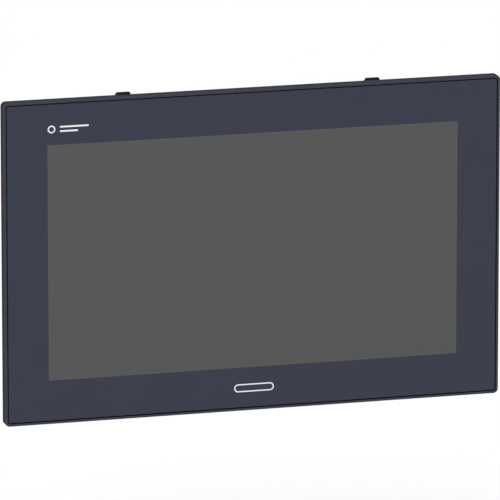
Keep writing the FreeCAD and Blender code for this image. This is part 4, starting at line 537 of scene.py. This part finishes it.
def rocker():
    """Glossy rocker with the marks for on and off: a bar and a ring."""
    s = Surface("rocker_moulded", Specular_IOR_Level=0.5)
    middle = (low("switch_rocker", "X") + high("switch_rocker", "X")) / 2
    up = s.math("SUBTRACT", s.axis("Y"), (low("switch_rocker", "Y") + high("switch_rocker", "Y")) / 2)
    on = s.math("SUBTRACT", s.axis("X"), middle - ROCKER_MARK)
    off = s.math("SUBTRACT", s.axis("X"), middle + ROCKER_MARK)
    across, tall = ON_BAR
    bar = s.math("MULTIPLY", s.within(on, -across, across), s.within(up, -tall, tall))
    spread = s.math("SQRT", s.math("ADD", s.math("POWER", off, 2.0), s.math("POWER", up, 2.0)))
    marks = s.math("MAXIMUM", bar, s.within(spread, *OFF_RING))
    front = s.below(s.axis("Z"), high("switch_rocker", "Z") - MARK_DEPTH)
    flow = s.noise(5 * MM)
    base = s.blend(flow, scaled(SOFT_BLACK, 0.85), scaled(SOFT_BLACK, 1.2))
    s.set(Base_Color=s.blend(s.math("MULTIPLY", marks, front), base, PRINT_WHITE))
    s.set(Roughness=s.levels(flow, 0.0, 1.0, 0.22, 0.3))
    s.set(Normal=s.bump(marks, 0.4, 0.05 * MM))
    return s.material


def drive_case():
    """Black anodised drive with a plain, blank label."""
    s = Zoned("drive_anodised", DRIVE)
    x0, x1 = low("solid_state_drive", "X"), high("solid_state_drive", "X")
    z0, z1 = low("solid_state_drive", "Z"), high("solid_state_drive", "Z")
    start = (x0 + LABEL_START, high("solid_state_drive", "Y") - LABEL_T, z0 + LABEL_SIDE)
    s.zone(s.boxed(start, (x1 - LABEL_END, None, z1 - LABEL_SIDE)), PAPER)
    return s.done(spread=0.04, flow_size=20 * MM)


def led_strip():
    """The white strip, with the LEDs above it showing their yellow phosphor."""
    s = Zoned("led_strip", LED_BOARD)
    s.zone(s.above(s.axis("Z"), high("led_bar", "Z") - LED_TOP), PHOSPHOR_CAP)
    return s.done()


def processor():
    """Green carrier with a mirror-like bare die."""
    s = Zoned("processor_carrier", MASK)
    s.zone(s.above(s.axis("Y"), high("processor", "Y") - DIE_TOP), DIE)
    return s.done()


def touch_film():
    """The sensor film, with its fine square grid."""
    s = Surface("touch_film", Roughness=0.2)
    grid = s.math("MAXIMUM", s.lines("X", TOUCH_PITCH, 0.1), s.lines("Z", TOUCH_PITCH, 0.1))
    s.set(Base_Color=s.blend(grid, FILM, FILM_GRID), Normal=s.bump(grid, 0.2, 0.01 * MM))
    return s.material


def lcd_glass():
    """The polarised cell, with its rows of picture elements."""
    s = Surface("lcd_glass", Roughness=0.18)
    rows = s.math("MULTIPLY", s.lines("X", PIXEL_PITCH, 0.7), s.lines("Z", PIXEL_PITCH, 0.7))
    s.set(Base_Color=s.blend(rows, CELL, CELL_ROWS), Normal=s.bump(rows, 0.1, 0.01 * MM))
    return s.material


def switch_case():
    """Black switch body with tinned blades."""
    s = Zoned("switch_moulded", PLASTIC)
    s.zone(s.above(s.axis("Z"), high("switch_body", "Z") - BLADE_ROOTS), SHIELD)
    return s.done()


def socket_board():
    """The drive socket's small board and its black socket."""
    s = Zoned("socket_parts", MASK)
    s.zone(s.above(s.axis("X"), low("drive_socket", "X") + SOCKET_BOARD_T), PLASTIC)
    return s.done()


def holder():
    """The coin cell's black ring and its sprung clip."""
    s = Zoned("holder_moulded", PLASTIC)
    s.zone(s.above(s.axis("Y"), low("battery_holder", "Y") + HOLDER_RING), SHIELD)
    return s.done()


def knurled():
    """Nickel-plated screw head with fine diamond knurling on its side."""
    s = Surface("knurled_nickel", Metallic=1.0, Roughness=0.25)
    fine = s.math("MULTIPLY", s.lines("Y", KNURL_PITCH, 0.5, 0.4), s.lines("Z", KNURL_PITCH, 0.5, 0.4))
    cloud = s.noise(2 * MM, 3.0)
    s.set(Base_Color=s.blend(cloud, scaled(NICKEL, 0.85), scaled(NICKEL, 1.1)))
    s.set(Normal=s.bump(fine, 0.3, 0.08 * MM))
    return s.material


# ---- Finish of every node ------------------------------------------------------------------------
zinc = metal("zinc_sheet", ZINC, roughness=0.36, spangle=5 * MM)
screw_steel = metal("screw_plating", STEEL, roughness=0.3, lines=(1, 1, 1), line=0.2 * MM)
aluminium = metal("machined_aluminium", ALUMINIUM, roughness=0.34, lines=(0.05, 1, 1))
spring_steel = metal("spring_wire", STEEL, roughness=0.28, lines=(1, 1, 1))
black_foam, tape = foam("black_foam", BLACK), foam("tape_foam", SOFT_BLACK, pore=0.25 * MM)
acetal = moulded("latch_acetal", BLACK, roughness=0.5, specular=0.15)
display_board = circuit_board("display_board", low("lcd_timing_board", "Y") + TIMING_BOARD_T)
gilt = metal("contact_gilt", GOLD, roughness=0.24, lines=(1, 1, 1))
serial_shell = metal("serial_nickel", NICKEL, roughness=0.24, lines=(1, 1, 1), line=0.3 * MM)

finishes = {
    "bezel_frame": bezel_powder(),
    "cover_glass": front_glass(),
    "glass_tape": tape,
    "panel_gasket": black_foam,
    "touch_sensor": touch_film(),
    "lcd_foam_seal": black_foam,
    "touch_flex": ribbon("amber_film", AMBER, COPPER),
    "lcd_front_frame": zinc,
    "lcd_cell": lcd_glass(),
    "optical_films": film("diffuser_film", PALE_WHITE, roughness=0.5, dots=0.4 * MM),
    "light_guide": film("light_guide_acrylic", ACRYLIC, roughness=0.12),
    "reflector_sheet": film("reflector_film", PALE_WHITE, roughness=0.6, dots=3 * MM, contrast=0.05),
    "led_bar": led_strip(),
    "lcd_rear_tray": aluminium,
    "lcd_timing_board": display_board,
    "touch_controller_board": display_board,
    "lcd_bracket_left": zinc,
    "lcd_bracket_right": zinc,
    "bracket_screws": screw_steel,
    "display_cable": ribbon("white_ribbon", PALE_WHITE, scaled(TIN, 0.6)),
    "chassis_plate": zinc,
    "chassis_screws": screw_steel,
    "board_standoffs": metal("standoff_brass", BRASS, roughness=0.3, lines=(1, 1, 1)),
    "main_board": circuit_board("main_board_mask"),
    "board_screws": screw_steel,
    "board_components": components(),
    "processor": processor(),
    "thermal_pad": foam("pad_silicone", PAD_BLUE, pore=0.3 * MM),
    "heat_spreader": aluminium,
    "memory_socket": moulded("socket_moulded", SOFT_BLACK),
    "memory_module": circuit_board("memory_board", low("memory_module", "Y") + CARD_T),
    "battery_holder": holder(),
    "coin_cell": metal("cell_can", TIN, roughness=0.2, lines=(1, 1, 1), line=0.3 * MM),
    "rear_cover": cover_powder(),
    "cover_screws": screw_steel,
    "heat_sink": heat_sink(),
    "heat_sink_screws": screw_steel,
    "drive_bay": zinc,
    "drive_socket": socket_board(),
    "drive_tray": powder_coat("tray_powder", DARK_GREY, roughness=0.42, grain=0.3 * MM),
    "solid_state_drive": drive_case(),
    "tray_thumbscrew": knurled(),
    "lan_ports": jack_shell("lan_shield", "lan_ports", LAN_WALL, halves("lan_ports")),
    "lan_contacts": gilt,
    "usb_ports": jack_shell("usb_shield", "usb_ports", USB_WALL, halves("usb_ports"), CAGE),
    "usb_tongues": moulded("tongue_plastic", TONGUE_BLUE, roughness=0.4),
    "serial_port": serial_shell,
    "serial_insert": serial_insulator(),
    "screen_port": jack_shell("screen_shield", "screen_port", SCREEN_WALL, whole("screen_port")),
    "power_header": moulded("header_plastic", HEADER_GREEN, roughness=0.4),
    "header_pins": gilt,
    "switch_body": switch_case(),
    "switch_rocker": rocker(),
    "reset_button": moulded("button_plastic", BUTTON_GREY, roughness=0.4),
    "ground_stud": earth_stud(),
    "latch_left": acetal,
    "latch_right": acetal,
    "latch_spring_left": spring_steel,
    "latch_spring_right": spring_steel,
}
for node, finish in finishes.items():
    for slot in NODES[node].material_slots:
        slot.material = finish


# ---- Pieces that stand for a node ----------------------------------------------------------------
def stand_in(node, suffix, data):
    """A piece with the given mesh, which takes a node's finish, body and slot and stands for it."""
    data.name = node + suffix
    data.materials.clear()
    data.materials.append(finishes[node])
    piece = bpy.data.objects.new(node + suffix, data)
    bpy.context.collection.objects.link(piece)
    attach(piece, BODY_OF[node])
    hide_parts(node)
    return piece


def softened(node, width):
    """A copy of a node with its sharp edges rounded."""
    mesh = bmesh.new()
    mesh.from_mesh(NODES[node].data)
    bmesh.ops.remove_doubles(mesh, verts=mesh.verts, dist=WELD)
    bmesh.ops.dissolve_limit(mesh, angle_limit=FLAT, verts=mesh.verts, edges=mesh.edges)
    data = bpy.data.meshes.new(node)
    mesh.to_mesh(data)
    mesh.free()
    data.polygons.foreach_set("use_smooth", [True] * len(data.polygons))
    data.set_sharp_from_angle(angle=SHARP)
    piece = stand_in(node, "_rounded", data)
    corner = piece.modifiers.new("corner", "BEVEL")
    corner.width, corner.segments = width, ROUND_SEGMENTS
    corner.limit_method, corner.angle_limit = "ANGLE", SHARP
    corner.harden_normals = True
    piece.modifiers.new("even_normals", "WEIGHTED_NORMAL").keep_sharp = True


def pressed_spring(node):
    """A copy of a latch's spring, with a mesh of its own, that stands for it."""
    piece = stand_in(node, "_coil", NODES[node].data.copy())
    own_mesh(piece)


ROUNDINGS = {
    "latch_left": 0.3 * MM,
    "latch_right": 0.3 * MM,
    "drive_tray": 0.25 * MM,
    "switch_body": 0.3 * MM,
    "switch_rocker": 0.25 * MM,
    "power_header": 0.2 * MM,
    "rear_cover": 0.2 * MM,
    "heat_sink": 0.25 * MM,
    "lan_ports": 0.15 * MM,
    "usb_ports": 0.15 * MM,
}
for node, width in ROUNDINGS.items():
    softened(node, width)
for side in ("left", "right"):
    pressed_spring("latch_spring_" + side)


# ---- Camera, light and floor ---------------------------------------------------------------------
def place_camera():
    """The camera, a long way off on the panel's left and above."""
    flat = math.cos(VIEW_ELEVATION)
    back = Vector((math.sin(VIEW_AZIMUTH) * flat, -math.cos(VIEW_AZIMUTH) * flat, math.sin(VIEW_ELEVATION)))
    right = Vector((math.cos(VIEW_AZIMUTH), math.sin(VIEW_AZIMUTH), 0))
    data = bpy.data.cameras.new("camera")
    data.lens, data.sensor_width = LENS, SENSOR
    data.clip_end = CLIP_END
    camera = bpy.data.objects.new("camera", data)
    bpy.context.collection.objects.link(camera)
    focus = Vector((0, low("cover_glass", "Y"), 0))
    camera.location = focus + back * DISTANCE + right * AIM_RIGHT + back.cross(right) * AIM_UP
    camera.rotation_euler = back.to_track_quat("Z", "Y").to_euler()
    bpy.context.scene.camera = camera


def place_light(name, place, size, power, aim=(0, 0, 0)):
    """A soft square light that points at `aim`."""
    data = bpy.data.lights.new(name, "AREA")
    data.size, data.energy = size, power
    light = bpy.data.objects.new(name, data)
    bpy.context.collection.objects.link(light)
    light.location = place
    light.rotation_euler = (Vector(place) - Vector(aim)).to_track_quat("Z", "Y").to_euler()


def place_floor():
    """A plain pale floor, with the faintest unevenness."""
    floor_z = cad_box[0][2] - FLOOR_DROP
    half = FLOOR_SIZE / 2
    data = bpy.data.meshes.new("floor")
    corners = [(-half, -half, floor_z), (half, -half, floor_z), (half, half, floor_z), (-half, half, floor_z)]
    data.from_pydata(corners, [], [(0, 1, 2, 3)])
    floor = bpy.data.objects.new("floor", data)
    bpy.context.collection.objects.link(floor)
    s = Surface("floor_paint", Roughness=0.9, Specular_IOR_Level=0.1)
    s.set(Base_Color=s.blend(s.noise(FLOOR_CLOUD), FLOOR_SHADE, FLOOR_WHITE))
    data.materials.append(s.material)


def light_scene():
    """Even white surroundings and a large soft light above the front."""
    world = bpy.data.worlds.new("surroundings")
    world.use_nodes = True
    background = world.node_tree.nodes["Background"]
    background.inputs["Color"].default_value = (1, 1, 1, 1)
    background.inputs["Strength"].default_value = WORLD_STRENGTH
    bpy.context.scene.world = world
    bpy.context.scene.view_settings.view_transform = "Standard"
    place_light("key", KEY_PLACE, KEY_SIZE, KEY_POWER)


place_camera()
place_floor()
light_scene()
